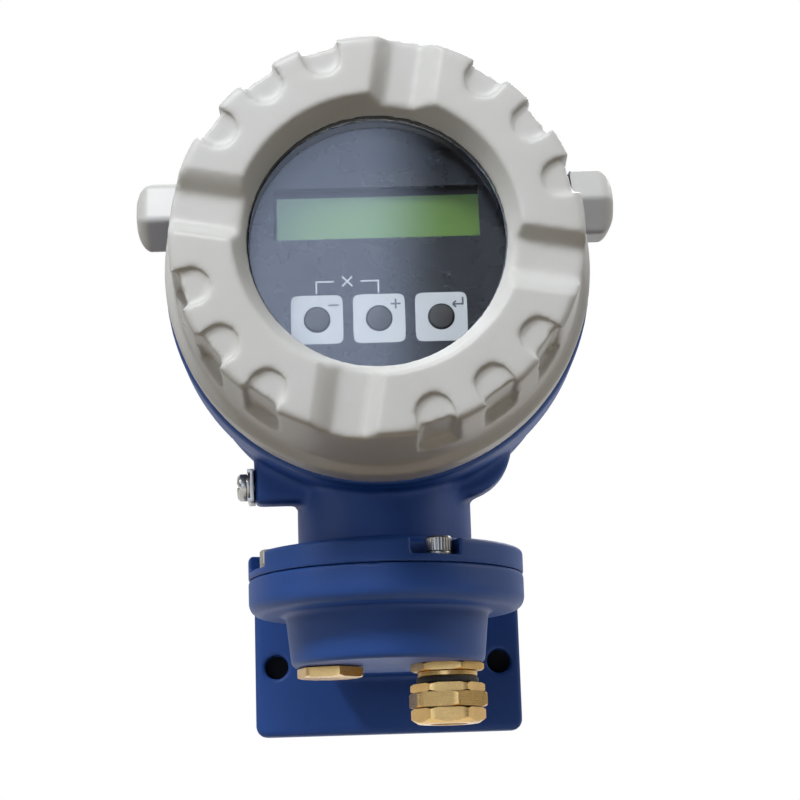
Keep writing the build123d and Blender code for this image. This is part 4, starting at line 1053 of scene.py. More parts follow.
@dataclass
class FrontCover:
    """Thick screwed ring around the window, with its glass, seal and retaining ring."""

    face_y: float = -177.4 * MM
    voxel: float = 0.75 * MM
    depth: float = 52.5 * MM
    spigot_radius: float = 63.0 * MM
    spigot_length: float = 9.0 * MM
    thread_pitch: float = 2.0 * MM
    thread_height: float = 0.22 * MM
    groove_width: float = 2.8 * MM
    glass_edge: float = 0.4 * MM
    rim_thickness: float = 2.1 * MM
    rim_gap: float = 0.1 * MM
    lip_radius: float = 40.7 * MM
    cup_rounding: float = 0.4 * MM
    seal_section: float = 1.1 * MM
    first_slot: float = 10.0
    slot_floor_half: float = 5.4 * MM
    slot_mouth_half: float = 9.0 * MM
    slot_depth: float = 5.0 * MM
    slot_lean: float = 2.2 * MM
    slot_fade: float = 17.0 * MM
    scallop_spread: float = 19.5
    scallop_radius: float = 6.0 * MM
    scallop_centre: float = 59.3 * MM
    scallop_depth: float = 3.4 * MM
    scallop_share: float = 0.5
    scallop_fade: float = 13.0 * MM
    edge_blend: float = 0.8 * MM

    def build(self) -> None:
        """Build and dress the cover's pieces."""
        casting = SoftEdged(
            "front_cover", "front_cover_casting", Body.FRONT_COVER, GREY_PAINT, self.voxel
        ).build()
        self.shape_grips(casting.data)
        self.thread()
        self.glass()
        self.window_cup()
        self.seal()
        dress_nodes(GREY_PAINT, "front_cover")
        dress_nodes(DARK_RING, "window_retainer")
        dress_nodes(RUBBER, "window_seal", "front_cover_seal")
        dress_nodes(GLASS, "window_glass")

    def shape_grips(self, data: bpy.types.Mesh) -> None:
        """Give the scallops a shallow floor and each slot one wall that leans more than the other.

        Args:
            data: Mesh of the cover's casting, in the model's frame.
        """
        for vertex in data.vertices:
            depth = vertex.co.y - self.face_y
            across, upward = vertex.co.x, vertex.co.z - HEAD_AXIS_Z
            radius = math.hypot(across, upward)
            if depth > self.scallop_fade or radius < self.lip_radius:
                continue
            angle = math.degrees(math.atan2(across, upward))
            turn = self.slot_turn(angle, radius, depth)
            vertex.co.y = self.face_y + self.raised(angle, radius, depth)
            if turn:
                bearing = math.radians(angle) + turn
                vertex.co.x = radius * math.sin(bearing)
                vertex.co.z = HEAD_AXIS_Z + radius * math.cos(bearing)

    def slot_turn(self, angle: float, radius: float, depth: float) -> float:
        """Turn about the head axis that leans a slot's clockwise wall.

        Args:
            angle: Degrees clockwise from the top.
            radius: Distance from the head axis.
            depth: Distance behind the cover's face.

        Returns:
            The turn in radians, 0 away from the slots.
        """
        within = (angle - self.first_slot + 45) % 90 - 45
        side = radius * math.sin(math.radians(within))
        if depth > self.slot_depth or not self.slot_floor_half < side < self.slot_fade:
            return 0.0
        if side < self.slot_mouth_half:
            share = (side - self.slot_floor_half) / (self.slot_mouth_half - self.slot_floor_half)
        else:
            share = (self.slot_fade - side) / (self.slot_fade - self.slot_mouth_half)
        return self.slot_lean * (1 - max(depth, 0.0) / self.slot_depth) * share / radius

    def raised(self, angle: float, radius: float, depth: float) -> float:
        """Depth of a point once the scallop that it lies in is made shallow.

        Args:
            angle: Degrees clockwise from the top.
            radius: Distance from the head axis.
            depth: Distance behind the cover's face.

        Returns:
            The new depth.
        """
        within = (angle - self.first_slot) % 90 - 45
        nearest = min((-self.scallop_spread, 0.0, self.scallop_spread), key=lambda turn: abs(within - turn))
        side = radius * math.sin(math.radians(within - nearest))
        outward = radius * math.cos(math.radians(within - nearest))
        reach = math.hypot(side, min(outward - self.scallop_centre, 0.0))
        inside = (self.scallop_radius + self.edge_blend - reach) / self.edge_blend
        share = min(max(inside, 0.0), 1.0)
        floor = self.scallop_depth
        if depth < floor:
            shallow = depth * self.scallop_share
        else:
            stretch = (self.scallop_fade - floor * self.scallop_share) / (self.scallop_fade - floor)
            shallow = floor * self.scallop_share + (depth - floor) * stretch
        return depth + share * (shallow - depth)

    def window_cup(self) -> None:
        """Black rubber cup that seats the window, seen as a dark band inside the cover's lip."""
        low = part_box("window_seal")[0]
        glass_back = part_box("window_glass")[1].y
        outer = -low.x
        end = glass_back - self.rim_thickness - low.y
        profile = [
            (self.lip_radius + self.cup_rounding, 0.0), (outer, 0.0), (outer, end), (self.lip_radius, end),
            (self.lip_radius, self.cup_rounding),
        ]
        place = axis_place((0, low.y, HEAD_AXIS_Z), (0, 1, 0), (1, 0, 0))
        made = lathe("window_cup_seal", profile, 128).piece(place, RUBBER, Body.FRONT_COVER)
        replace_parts(made, "window_seal")

    def thread(self) -> None:
        """Add the spigot's thread, which shows when the cover is unscrewed."""
        start = self.face_y + self.depth + self.groove_width
        length = self.spigot_length - self.groove_width
        sketch = thread_ridge(
            "front_cover_thread", self.spigot_radius, self.thread_height, self.thread_pitch,
            length / self.thread_pitch - 1.1,
        )
        place = axis_place((0, start, HEAD_AXIS_Z), (0, 1, 0), (1, 0, 0))
        sketch.piece(place, GREY_PAINT, Body.FRONT_COVER)

    def glass(self) -> None:
        """Grind the window's edges, step its rim for the seal and let it stand for the node."""
        low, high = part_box("window_glass")
        radius = (high.x - low.x) / 2
        thickness = high.y - low.y
        step = thickness - self.rim_thickness
        edge = self.glass_edge
        front = self.lip_radius - self.rim_gap
        profile = [
            (front - edge, 0.0), (front, edge), (front, step), (radius - edge, step), (radius, step + edge),
            (radius, thickness - edge), (radius - edge, thickness),
        ]
        sketch = lathe("window_pane", profile, 128, closed=False)
        place = axis_place((0, low.y, HEAD_AXIS_Z), (0, 1, 0), (1, 0, 0))
        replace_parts(sketch.piece(place, GLASS, Body.FRONT_COVER, sharp=20.0), "window_glass")

    def seal(self) -> None:
        """Round cord ring in the groove at the spigot's root."""
        low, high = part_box("front_cover_seal")
        radius = self.spigot_radius - self.seal_section
        sketch = o_ring("front_cover_cord_ring", radius, self.seal_section)
        place = axis_place((0, (low.y + high.y) / 2, HEAD_AXIS_Z), (0, 1, 0), (1, 0, 0))
        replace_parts(sketch.piece(place, RUBBER, Body.FRONT_SEAL), "front_cover_seal")


@dataclass
class RearCover:
    """Blind screwed cover of the terminal compartment."""

    face_y: float = -27.6 * MM
    voxel: float = 0.8 * MM
    depth: float = 23.5 * MM
    spigot_radius: float = 57.5 * MM
    spigot_length: float = 9.0 * MM
    thread_pitch: float = 2.0 * MM
    thread_height: float = 0.22 * MM
    groove_width: float = 2.8 * MM
    seal_section: float = 1.1 * MM

    def build(self) -> None:
        """Build and dress the cover's pieces."""
        SoftEdged("rear_cover", "rear_cover_casting", Body.REAR_COVER, GREY_PAINT, self.voxel).build()
        start = self.face_y - self.depth - self.groove_width
        length = self.spigot_length - self.groove_width
        sketch = thread_ridge(
            "rear_cover_thread", self.spigot_radius, self.thread_height, self.thread_pitch,
            length / self.thread_pitch - 1.1,
        )
        place = axis_place((0, start, HEAD_AXIS_Z), (0, -1, 0), (1, 0, 0))
        sketch.piece(place, GREY_PAINT, Body.REAR_COVER)
        low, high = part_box("rear_cover_seal")
        ring = o_ring("rear_cover_cord_ring", self.spigot_radius - self.seal_section, self.seal_section)
        place = axis_place((0, (low.y + high.y) / 2, HEAD_AXIS_Z), (0, 1, 0), (1, 0, 0))
        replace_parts(ring.piece(place, RUBBER, Body.REAR_SEAL), "rear_cover_seal")
        dress_nodes(GREY_PAINT, "rear_cover")
        dress_nodes(RUBBER, "rear_cover_seal")


@dataclass
class DrumHousing:
    """Drum, neck, rib and cable entries of the swivelling head."""

    voxel: float = 0.9 * MM
    boss_root: float = 67.6 * MM
    boss_reach: float = 73.0 * MM
    boss_front_y: float = -90.0 * MM

    def build(self) -> None:
        """Build and dress the casting and the parts that stay hidden in it."""
        casting = SoftEdged("housing", "housing_casting", Body.HEAD, BLUE_PAINT, self.voxel).build()
        shrink = (ENTRY_FACE_X - self.boss_root) / (self.boss_reach - self.boss_root)
        for vertex in casting.data.vertices:
            beyond = abs(vertex.co.x) - self.boss_root
            if beyond > 0 and vertex.co.y > self.boss_front_y:
                vertex.co.x = math.copysign(self.boss_root + beyond * shrink, vertex.co.x)
        dress_nodes(BLUE_PAINT, "housing")
        dress_nodes(SPACER_METAL, "foot_plate", "display_carrier", "board_pillars")
        dress_nodes(STEEL, "foot_plate_screws", "terminal_screws")
        dress_nodes(LAMINATE, "amplifier_board", "power_board", "display_board")
        dress_nodes(TERMINAL_PLASTIC, "terminal_block")


@dataclass
class SidePlug:
    """Domed hexagon plug in a side entry, on its flat seal."""

    name: str
    side: int
    turn: float = 0.0
    flats: float = 24.0 * MM
    length: float = 15.4 * MM
    dome: float = 6.0 * MM
    dome_steps: int = 9
    dome_end: float = 1.08
    shank_radius: float = 10.0 * MM
    shank_length: float = 12.0 * MM
    seal_thickness: float = 1.2 * MM
    shank_chamfer: float = 0.6 * MM
    socket_radius: float = 5.0 * MM
    socket_edge: float = 0.3 * MM
    socket_depth: float = 4.0 * MM
    corner_share: float = 0.975

    def build(self) -> None:
        """Build the domed head with its recess, and the seal under it."""
        low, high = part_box(f"side_plug_seal_{self.name}")
        centre = (low + high) / 2
        base = self.side * (ENTRY_FACE_X + self.seal_thickness)
        hexagon = Hexagon(self.flats, math.radians(self.turn), corner_share=self.corner_share)
        sketch = MeshSketch(f"side_plug_{self.name}_domed")
        start = -self.seal_thickness - self.shank_length
        rings = [
            hexagon.rim(sketch, start, self.shank_radius - self.shank_chamfer),
            hexagon.rim(sketch, start + self.shank_chamfer, self.shank_radius),
            hexagon.rim(sketch, 0.0, self.shank_radius),
            hexagon.rim(sketch, 0.0),
            hexagon.outline(sketch, 0.0, -1),
        ]
        for step in range(self.dome_steps + 1):
            bend = self.dome_end * step / self.dome_steps
            height = self.length - self.dome * (math.sin(self.dome_end) - math.sin(bend))
            rings.append(self.shrunk(sketch, hexagon, height, math.cos(bend)))
        rings.append(hexagon.rim(sketch, self.length - self.socket_edge, self.socket_radius))
        rings.append(hexagon.rim(sketch, self.length - self.socket_depth, self.socket_radius))
        sketch.stack(rings)
        sketch.cap(rings[0])
        sketch.cap(rings[-1])
        place = axis_place((base, centre.y, centre.z), (self.side, 0, 0), (0, 1, 0))
        made = sketch.piece(place, PLUG_PAINT, Body.HEAD, sharp=28.0)
        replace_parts(made, f"side_plug_{self.name}")
        washer = lathe(
            f"side_plug_{self.name}_washer",
            [
                (self.shank_radius, -self.seal_thickness), (self.flats / 2, -self.seal_thickness),
                (self.flats / 2, 0.0), (self.shank_radius, 0.0),
            ],
        )
        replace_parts(washer.piece(place, RUBBER, Body.HEAD), f"side_plug_seal_{self.name}")
        dress_nodes(PLUG_PAINT, f"side_plug_{self.name}")
        dress_nodes(RUBBER, f"side_plug_seal_{self.name}")

    def shrunk(self, sketch: MeshSketch, hexagon: Hexagon, height: float, share: float) -> list:
        """Ring of the hexagon drawn in to a share of its size, rounder as it gets smaller.

        Args:
            sketch: Sketch that takes the ring.
            hexagon: Hexagon of the head.
            height: Height of the ring.
            share: Share of the hexagon's size.

        Returns:
            The ring.
        """
        points = []
        for index in range(HEX_SEGMENTS):
            angle = hexagon.turn + 2 * math.pi * index / HEX_SEGMENTS
            side = hexagon.reach(angle)
            radius = share * (hexagon.flats / 2 + (side - hexagon.flats / 2) * share)
            points.append(spoke(radius, angle, height))
        return sketch.ring(points)


@dataclass
class EarthTerminal:
    """Clamp, split washer and slotted screw on the rib's left end."""

    bevel: float = 0.2 * MM

    def build(self) -> None:
        """Bevel the terminal's small pieces and dress them."""
        for node, piece, width in (
            ("earth_clamp", "earth_clamp_pressed", self.bevel),
            ("earth_spring_washer", "earth_washer_split", self.bevel * 0.6),
            ("earth_screw", "earth_screw_slotted", self.bevel * 0.8),
        ):
            Bevelled(node, piece, Body.HEAD, STEEL, width).build()
            dress_nodes(STEEL, node)


@dataclass
class ClampRing:
    """Notched ring that holds the head down, with its socket-head screws."""

    voxel: float = 0.55 * MM
    head_radius: float = 4.25 * MM
    head_height: float = 5.0 * MM
    shank_radius: float = 2.5 * MM
    socket_flats: float = 4.0 * MM
    socket_depth: float = 2.6 * MM
    flutes: int = 32
    flute_depth: float = 0.12 * MM
    seat_chamfer: float = 0.3 * MM
    top_chamfer_height: float = 0.6 * MM
    top_chamfer_width: float = 0.5 * MM
    sink_width: float = 0.2 * MM
    sink_depth: float = 0.25 * MM
    washer_bevel: float = 0.15 * MM

    def build(self) -> None:
        """Build the ring, a knurled screw in each notch, and the washers."""
        SoftEdged("clamp_ring", "clamp_ring_casting", Body.HOLDER, BLUE_PAINT, self.voxel, 2).build()
        dress_nodes(BLUE_PAINT, "clamp_ring")
        dress_nodes(STEEL, "clamp_screws", "clamp_washers")
        self.screws()
        Bevelled("clamp_washers", "clamp_washers_flat", Body.HOLDER, STEEL, self.washer_bevel).build()

    def centres(self) -> list[Vector]:
        """Find the screws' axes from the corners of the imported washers.

        Returns:
            The middle of each washer, in the model's frame.
        """
        points = [vertex.co.copy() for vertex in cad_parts["clamp_washers"].data.vertices]
        groups: list[list[Vector]] = []
        for point in points:
            for group in groups:
                if (group[0] - point).length < 2.5 * self.head_radius:
                    group.append(point)
                    break
            else:
                groups.append([point])
        middles = []
        for group in groups:
            low = Vector([min(point[axis] for point in group) for axis in range(3)])
            high = Vector([max(point[axis] for point in group) for axis in range(3)])
            middles.append(Vector(((low.x + high.x) / 2, (low.y + high.y) / 2, high.z)))
        return middles

    def screws(self) -> None:
        """Knurled heads with a hexagon socket, all in one piece as their node is."""
        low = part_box("clamp_screws")[0]
        sketch = MeshSketch("clamp_screws_socket_head")
        socket = Hexagon(self.socket_flats, math.radians(15), corner_share=1.0)
        for centre in self.centres():
            seat = centre.z
            top = seat + self.head_height
            shift = Vector((centre.x, centre.y, 0.0))
            rings = [
                self.knurled(sketch, self.shank_radius, low.z, 0.0, shift),
                self.knurled(sketch, self.shank_radius, seat, 0.0, shift),
                self.knurled(sketch, self.head_radius - self.seat_chamfer, seat, 0.0, shift),
                self.knurled(sketch, self.head_radius, seat + self.seat_chamfer, self.flute_depth, shift),
                self.knurled(
                    sketch, self.head_radius, top - self.top_chamfer_height, self.flute_depth, shift
                ),
                self.knurled(sketch, self.head_radius - self.top_chamfer_width, top, 0.0, shift),
                self.socket_ring(sketch, socket, self.sink_width, top, shift),
                self.socket_ring(sketch, socket, 0.0, top - self.sink_depth, shift),
                self.socket_ring(sketch, socket, 0.0, top - self.socket_depth, shift),
            ]
            sketch.stack(rings)
            sketch.cap(rings[0])
            sketch.cap(rings[-1])
        made = sketch.piece(Matrix.Identity(4), STEEL, Body.HOLDER, sharp=30.0)
        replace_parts(made, "clamp_screws")

    def knurled(self, sketch: MeshSketch, radius: float, height: float, flute: float, shift: Vector) -> list:
        """Ring whose radius dips at every flute of the knurl.

        Args:
            sketch: Sketch that takes the ring.
            radius: Radius of the head.
            height: Height of the ring.
            flute: Depth of a flute.
            shift: Place of the screw.

        Returns:
            The ring.
        """
        points = []
        for index in range(HEX_SEGMENTS):
            angle = 2 * math.pi * index / HEX_SEGMENTS
            dip = flute * (0.5 - 0.5 * math.cos(self.flutes * angle))
            points.append(Vector(spoke(radius - dip, angle, height)) + shift)
        return sketch.ring(points)

    def socket_ring(
        self, sketch: MeshSketch, socket: Hexagon, inset: float, height: float, shift: Vector
    ) -> list:
        """Ring of the hexagon socket, widened by an inset for its countersink.

        Args:
            sketch: Sketch that takes the ring.
            socket: Hexagon of the socket.
            inset: How much wider the ring is than the socket.
            height: Height of the ring.
            shift: Place of the screw.

        Returns:
            The ring.
        """
        points = []
        for index in range(HEX_SEGMENTS):
            angle = 2 * math.pi * index / HEX_SEGMENTS
            points.append(Vector(spoke(socket.reach(angle) + inset, angle, height)) + shift)
        return sketch.ring(points)


@dataclass
class WallHolder:
    """Wall plate, arm, connection cup and flange in one casting, with the parts inside the cup."""

    voxel: float = 0.75 * MM
    seal_radius: float = 30.3 * MM
    seal_section: float = 0.9 * MM

    def build(self) -> None:
        """Build and dress the casting, the foot seal and the cup's terminals."""
        SoftEdged("wall_holder", "wall_holder_casting", Body.HOLDER, BLUE_PAINT, self.voxel).build()
        dress_nodes(BLUE_PAINT, "wall_holder")
        low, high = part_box("foot_seal")
        ring = o_ring("foot_cord_ring", self.seal_radius, self.seal_section)
        place = axis_place((0, NECK_Y, (low.z + high.z) / 2), (0, 0, 1), (1, 0, 0))
        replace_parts(ring.piece(place, RUBBER, Body.HOLDER), "foot_seal")
        dress_nodes(RUBBER, "foot_seal")
        dress_nodes(TERMINAL_PLASTIC, "cup_terminals")
        dress_nodes(STEEL, "cup_terminal_screws")


@dataclass
class BlankingPlug:
    """Flat brass hexagon plug in the cup's left floor entry."""

    flats: float = 20.0 * MM
    turn: float = 12.6
    height: float = 3.2 * MM
    shank_radius: float = 8.0 * MM
    shank_chamfer: float = 0.6 * MM

    def build(self) -> None:
        """Build the chamfered head and its shank."""
        low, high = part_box("blanking_plug")
        seal_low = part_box("blanking_plug_seal")[0]
        centre_x = (low.x + high.x) / 2
        hexagon = Hexagon(self.flats, math.radians(-self.turn))
        sketch = MeshSketch("blanking_plug_hexagon")
        rings = [
            hexagon.rim(sketch, seal_low.z - self.height),
            hexagon.outline(sketch, seal_low.z - self.height, -1),
            hexagon.outline(sketch, seal_low.z, 0),
            hexagon.rim(sketch, seal_low.z, self.shank_radius),
            hexagon.rim(sketch, high.z - self.shank_chamfer, self.shank_radius),
            hexagon.rim(sketch, high.z, self.shank_radius - self.shank_chamfer),
        ]
        sketch.stack(rings)
        sketch.cap(rings[0])
        sketch.cap(rings[-1])
        place = axis_place((centre_x, NECK_Y, 0), (0, 0, 1), (1, 0, 0))
        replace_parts(sketch.piece(place, BRASS, Body.HOLDER, sharp=24.0), "blanking_plug")
        dress_nodes(BRASS, "blanking_plug")
        dress_nodes(RUBBER, "blanking_plug_seal")


@dataclass
class CableGland:
    """Brass gland: entry nipple with its seal ring, body, rubber insert and clamping nut."""

    locknut_flats: float = 22.0 * MM
    locknut_turn: float = 10.0
    locknut_height: float = 2.6 * MM
    ring_radius: float = 10.1 * MM
    ring_height: float = 2.0 * MM
    groove_radius: float = 8.8 * MM
    seal_height: float = 2.2 * MM
    seal_radius: float = 10.5 * MM
    seal_bulge: float = 0.5 * MM
    entry_hex_height: float = 3.0 * MM
    body_flats: float = 24.0 * MM
    body_turn: float = 17.5
    body_height: float = 4.9 * MM
    body_bore: float = 7.4 * MM
    spigot_radius: float = 8.6 * MM
    bore_radius: float = 6.4 * MM
    shank_radius: float = 10.0 * MM
    ring_edge: float = 0.35 * MM
    nut_lip: float = 1.0 * MM
    nut_mouth: float = 2.6 * MM
    nut_dome: float = 0.15 * MM
    nut_clearance: float = 0.05 * MM
    insert_bore: float = 4.6 * MM
    insert_lead: float = 0.8 * MM
    insert_edge: float = 0.3 * MM
    seal_steps: int = 8
    thread_pitch: float = 1.5 * MM

    def build(self) -> None:
        """Build the gland's brass parts, its rings and the spigot's thread."""
        self.place = axis_place((GLAND_X, NECK_Y, 0), (0, 0, 1), (1, 0, 0))
        self.entry()
        self.body()
        self.nut()
        self.rings()
        dress_nodes(BRASS, "gland_entry", "gland_body", "gland_nut")
        dress_nodes(RUBBER, "gland_insert", "gland_seal_ring")
        dress_nodes(STEEL, "gland_washer")

    def entry(self) -> None:
        """Locknut, turned ring, groove and lower hexagon of the entry nipple."""
        low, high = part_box("gland_entry")
        hex_top = low.z + self.entry_hex_height
        groove_top = hex_top + self.seal_height
        ring_top = groove_top + self.ring_height
        locknut_top = ring_top + self.locknut_height
        sketch = MeshSketch("gland_entry_turned")
        Hexagon(self.locknut_flats, math.radians(-self.locknut_turn)).nut(
            sketch, ring_top, locknut_top, self.bore_radius
        )
        Hexagon(self.locknut_flats).nut(sketch, low.z, hex_top, self.bore_radius)
        edge = self.ring_edge
        collar(
            sketch,
            [
                (self.bore_radius, groove_top), (self.ring_radius - edge, groove_top),
                (self.ring_radius, groove_top + edge), (self.ring_radius, ring_top - edge),
                (self.ring_radius - edge, ring_top), (self.bore_radius, ring_top),
            ],
        )
        collar(
            sketch,
            [
                (self.bore_radius, hex_top), (self.groove_radius, hex_top),
                (self.groove_radius, groove_top), (self.bore_radius, groove_top),
            ],
        )
        collar(
            sketch,
            [
                (self.bore_radius, locknut_top), (self.shank_radius, locknut_top),
                (self.shank_radius, high.z - edge), (self.shank_radius - edge, high.z),
                (self.bore_radius, high.z),
            ],
        )
        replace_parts(sketch.piece(self.place, BRASS, Body.HOLDER, sharp=24.0), "gland_entry")

    def body(self) -> None:
        """Large hexagon and threaded spigot of the gland's body."""
        low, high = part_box("gland_body")
        hex_low = high.z - self.body_height
        sketch = MeshSketch("gland_body_hexagon")
        Hexagon(self.body_flats, math.radians(-self.body_turn)).nut(sketch, hex_low, high.z, self.body_bore)
        collar(
            sketch,
            [
                (self.body_bore, low.z), (self.spigot_radius, low.z),
                (self.spigot_radius, hex_low), (self.body_bore, hex_low),
            ],
        )
        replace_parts(sketch.piece(self.place, BRASS, Body.HOLDER, sharp=24.0), "gland_body")

    def nut(self) -> None:
        """Clamping nut, open at its lower end, with a turned dome below the hexagon."""
        low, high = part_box("gland_nut")
        hexagon = Hexagon(self.locknut_flats, 0.0, rim_share=0.93, chamfer_share=0.95, chamfer_slope=0.75)
        sketch = MeshSketch("gland_nut_hexagon")
        spigot_room = self.spigot_radius + self.nut_clearance
        rings = [
            hexagon.rim(sketch, low.z, self.bore_radius),
            hexagon.rim(sketch, low.z, self.bore_radius + self.nut_mouth),
            hexagon.rim(sketch, low.z + self.nut_dome),
            hexagon.outline(sketch, low.z + self.nut_dome, -1),
            Hexagon(self.locknut_flats).outline(sketch, high.z, 1),
            Hexagon(self.locknut_flats).rim(sketch, high.z),
            hexagon.rim(sketch, high.z, spigot_room),
            hexagon.rim(sketch, low.z + self.nut_lip, spigot_room),
            hexagon.rim(sketch, low.z + self.nut_lip, self.bore_radius),
        ]
        sketch.stack(rings, closed=True)
        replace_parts(sketch.piece(self.place, BRASS, Body.GLAND_CAP, sharp=24.0), "gland_nut")

    def rings(self) -> None:
        """Rounded seal ring in the groove, and the rubber insert with a lead-in at its mouth."""
        low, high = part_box("gland_seal_ring")
        middle = (low.z + high.z) / 2
        half = (high.z - low.z) / 2
        profile = [(self.groove_radius, low.z)]
        for index in range(self.seal_steps + 1):
            bend = math.pi * (index / self.seal_steps - 0.5)
            radius = self.seal_radius + self.seal_bulge * (math.cos(bend) - 1)
            profile.append((radius, middle + half * math.sin(bend)))
        profile.append((self.groove_radius, high.z))
        sketch = lathe("gland_seal_cord", profile)
        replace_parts(sketch.piece(self.place, RUBBER, Body.HOLDER), "gland_seal_ring")
        low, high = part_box("gland_insert")
        outer = (high.x - low.x) / 2
        bore, lead, edge = self.insert_bore, self.insert_lead, self.insert_edge
        profile = [
            (bore + lead, low.z), (outer - edge, low.z), (outer, low.z + edge), (outer, high.z),
            (bore + lead, high.z), (bore, high.z - lead), (bore, low.z + lead),
        ]
        sketch = lathe("gland_insert_lipped", profile)
        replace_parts(sketch.piece(self.place, RUBBER, Body.HOLDER, sharp=25.0), "gland_insert")


@dataclass
class DisplayUnit:
    """Dark panel with the display and the three keys, behind the window."""

    square_width: float = 16.4 * MM
    square_height: float = 15.8 * MM
    square_power: float = 9.0
    ink: float = 0.06 * MM
    key_radius: float = 4.0 * MM
    key_gap: float = 0.25 * MM
    key_pitch: float = 19.6 * MM
    keys_z: float = 96.8 * MM
    line: float = 0.55 * MM
    mark_offset_x: float = 5.3 * MM
    mark_offset_z: float = 4.6 * MM
    mark_size: float = 3.2 * MM
    bracket_rise: float = 3.9 * MM
    bracket_clear: float = 0.5 * MM
    bracket_gap: float = 4.2 * MM
    # The frame's top band is wider than its other sides: a black strip that stands for the shadow cast by the
    # recess's upper wall, a painted shadow.
    frame_top_shadow: float = 2.3 * MM
    frame_left: float = 1.3 * MM
    frame_edge: float = 0.3 * MM
    frame_depth: float = 0.35 * MM
    key_bevel: float = 0.12 * MM
    keys: tuple = field(
        default=(
            ("key_minus", Body.MINUS_KEY, -1, Symbol.MINUS),
            ("key_plus", Body.PLUS_KEY, 0, Symbol.PLUS),
            ("key_enter", Body.ENTER_KEY, 1, Symbol.RETURN),
        )
    )

    def build(self) -> None:
        """Build the print, the display and the keys, and dress the rest."""
        self.panel_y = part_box("display_panel")[0].y
        for node, body, step, symbol in self.keys:
            centre_x = step * self.key_pitch
            self.square(f"key_field_{symbol.value}", centre_x)
            self.mark(symbol, centre_x + self.mark_offset_x, self.keys_z + self.mark_offset_z)
            Bevelled(node, f"{node}_cap", body, KEY_RUBBER, self.key_bevel).build()
            dress_nodes(KEY_RUBBER, node)
        self.bracket()
        self.display()
        dress_nodes(PANEL_FOIL, "display_panel")
        dress_nodes(HOUSING_PLASTIC, "display_housing")

    def flat(self, name: str, outline: list[tuple[float, float]], finish: Finish, lift: float = 1.0) -> None:
        """Lay a thin printed shape on the panel.

        Args:
            name: Name of the piece.
            outline: Corners (x, z) in order.
            finish: Ink.
            lift: Number of ink layers that it stands above the panel.
        """
        sketch = MeshSketch(name)
        back = sketch.ring([(x, self.panel_y - 0.2 * self.ink, z) for x, z in outline])
        front = sketch.ring([(x, self.panel_y - lift * self.ink, z) for x, z in outline])
        sketch.bridge(back, front)
        sketch.cap(back)
        sketch.cap(front)
        sketch.piece(Matrix.Identity(4), finish, Body.HEAD)

    def square(self, name: str, centre_x: float) -> None:
        """Pale field with rounded corners and a round hole for the key.

        Args:
            name: Name of the piece.
            centre_x: Middle of the field across the panel.
        """
        sketch = MeshSketch(name)
        count = 72
        half_x = self.square_width / 2
        half_z = self.square_height / 2
        layers = []
        for depth in (0.2, 1.0):
            y = self.panel_y - depth * self.ink
            outer, inner = [], []
            for index in range(count):
                angle = 2 * math.pi * index / count
                x, z = self.rounded(angle, half_x, half_z)
                hole = self.key_radius + self.key_gap
                outer.append((centre_x + x, y, self.keys_z + z))
                inner.append((centre_x + hole * math.cos(angle), y, self.keys_z + hole * math.sin(angle)))
            layers.append((sketch.ring(outer), sketch.ring(inner)))
        (back_outer, back_inner), (front_outer, front_inner) = layers
        sketch.stack([back_inner, back_outer, front_outer, front_inner], closed=True)
        sketch.piece(Matrix.Identity(4), WHITE_INK, Body.HEAD)

    def rounded(self, angle: float, half_x: float, half_z: float) -> tuple[float, float]:
        """Point of a rounded rectangle's outline in a direction, as a high power of an ellipse.

        Args:
            angle: Direction from the middle, in radians.
            half_x: Half the width.
            half_z: Half the height.

        Returns:
            The point (x, z).
        """
        across = abs(math.cos(angle) / half_x) ** self.square_power
        upward = abs(math.sin(angle) / half_z) ** self.square_power
        reach = (across + upward) ** (-1 / self.square_power)
        return (reach * math.cos(angle), reach * math.sin(angle))

    def bar(self, name: str, start: tuple, end: tuple, width: float, finish: Finish, lift: float) -> None:
        """Printed bar from one point of the panel to another.

        Args:
            name: Name of the piece.
            start: First point (x, z).
            end: Last point (x, z).
            width: Width of the bar.
            finish: Ink.
            lift: Number of ink layers above the panel.
        """
        along = (Vector(end) - Vector(start)).normalized()
        across = Vector((-along.y, along.x)) * width / 2
        first, last = Vector(start), Vector(end)
        corners = [first + across, last + across, last - across, first - across]
        self.flat(name, [(corner.x, corner.y) for corner in corners], finish, lift)

    def mark(self, symbol: Symbol, x: float, z: float) -> None:
        """Print a key's mark in the corner of its field.

        Args:
            symbol: Which mark.
            x: Middle of the mark across the panel.
            z: Middle of the mark up the panel.
        """
        half = self.mark_size / 2
        name = f"mark_{symbol.value}"
        strokes = {
            Symbol.MINUS: [((-half, 0), (half, 0))],
            Symbol.PLUS: [((-half, 0), (half, 0)), ((0, -half), (0, half))],
            Symbol.RETURN: [
                ((half, half), (half, -half * 0.4)),
                ((half + self.line / 2, -half * 0.4), (-half, -half * 0.4)),
                ((-half, -half * 0.4), (-half * 0.35, half * 0.25)),
                ((-half, -half * 0.4), (-half * 0.35, -half * 1.05)),
            ],
            Symbol.CROSS: [((-half, -half), (half, half)), ((-half, half), (half, -half))],
        }[symbol]
        finish = WHITE_INK if symbol is Symbol.CROSS else DARK_INK
        for number, (start, end) in enumerate(strokes):
            self.bar(
                f"{name}_{number}", (x + start[0], z + start[1]), (x + end[0], z + end[1]),
                self.line, finish, 1.8 + 0.2 * number,
            )

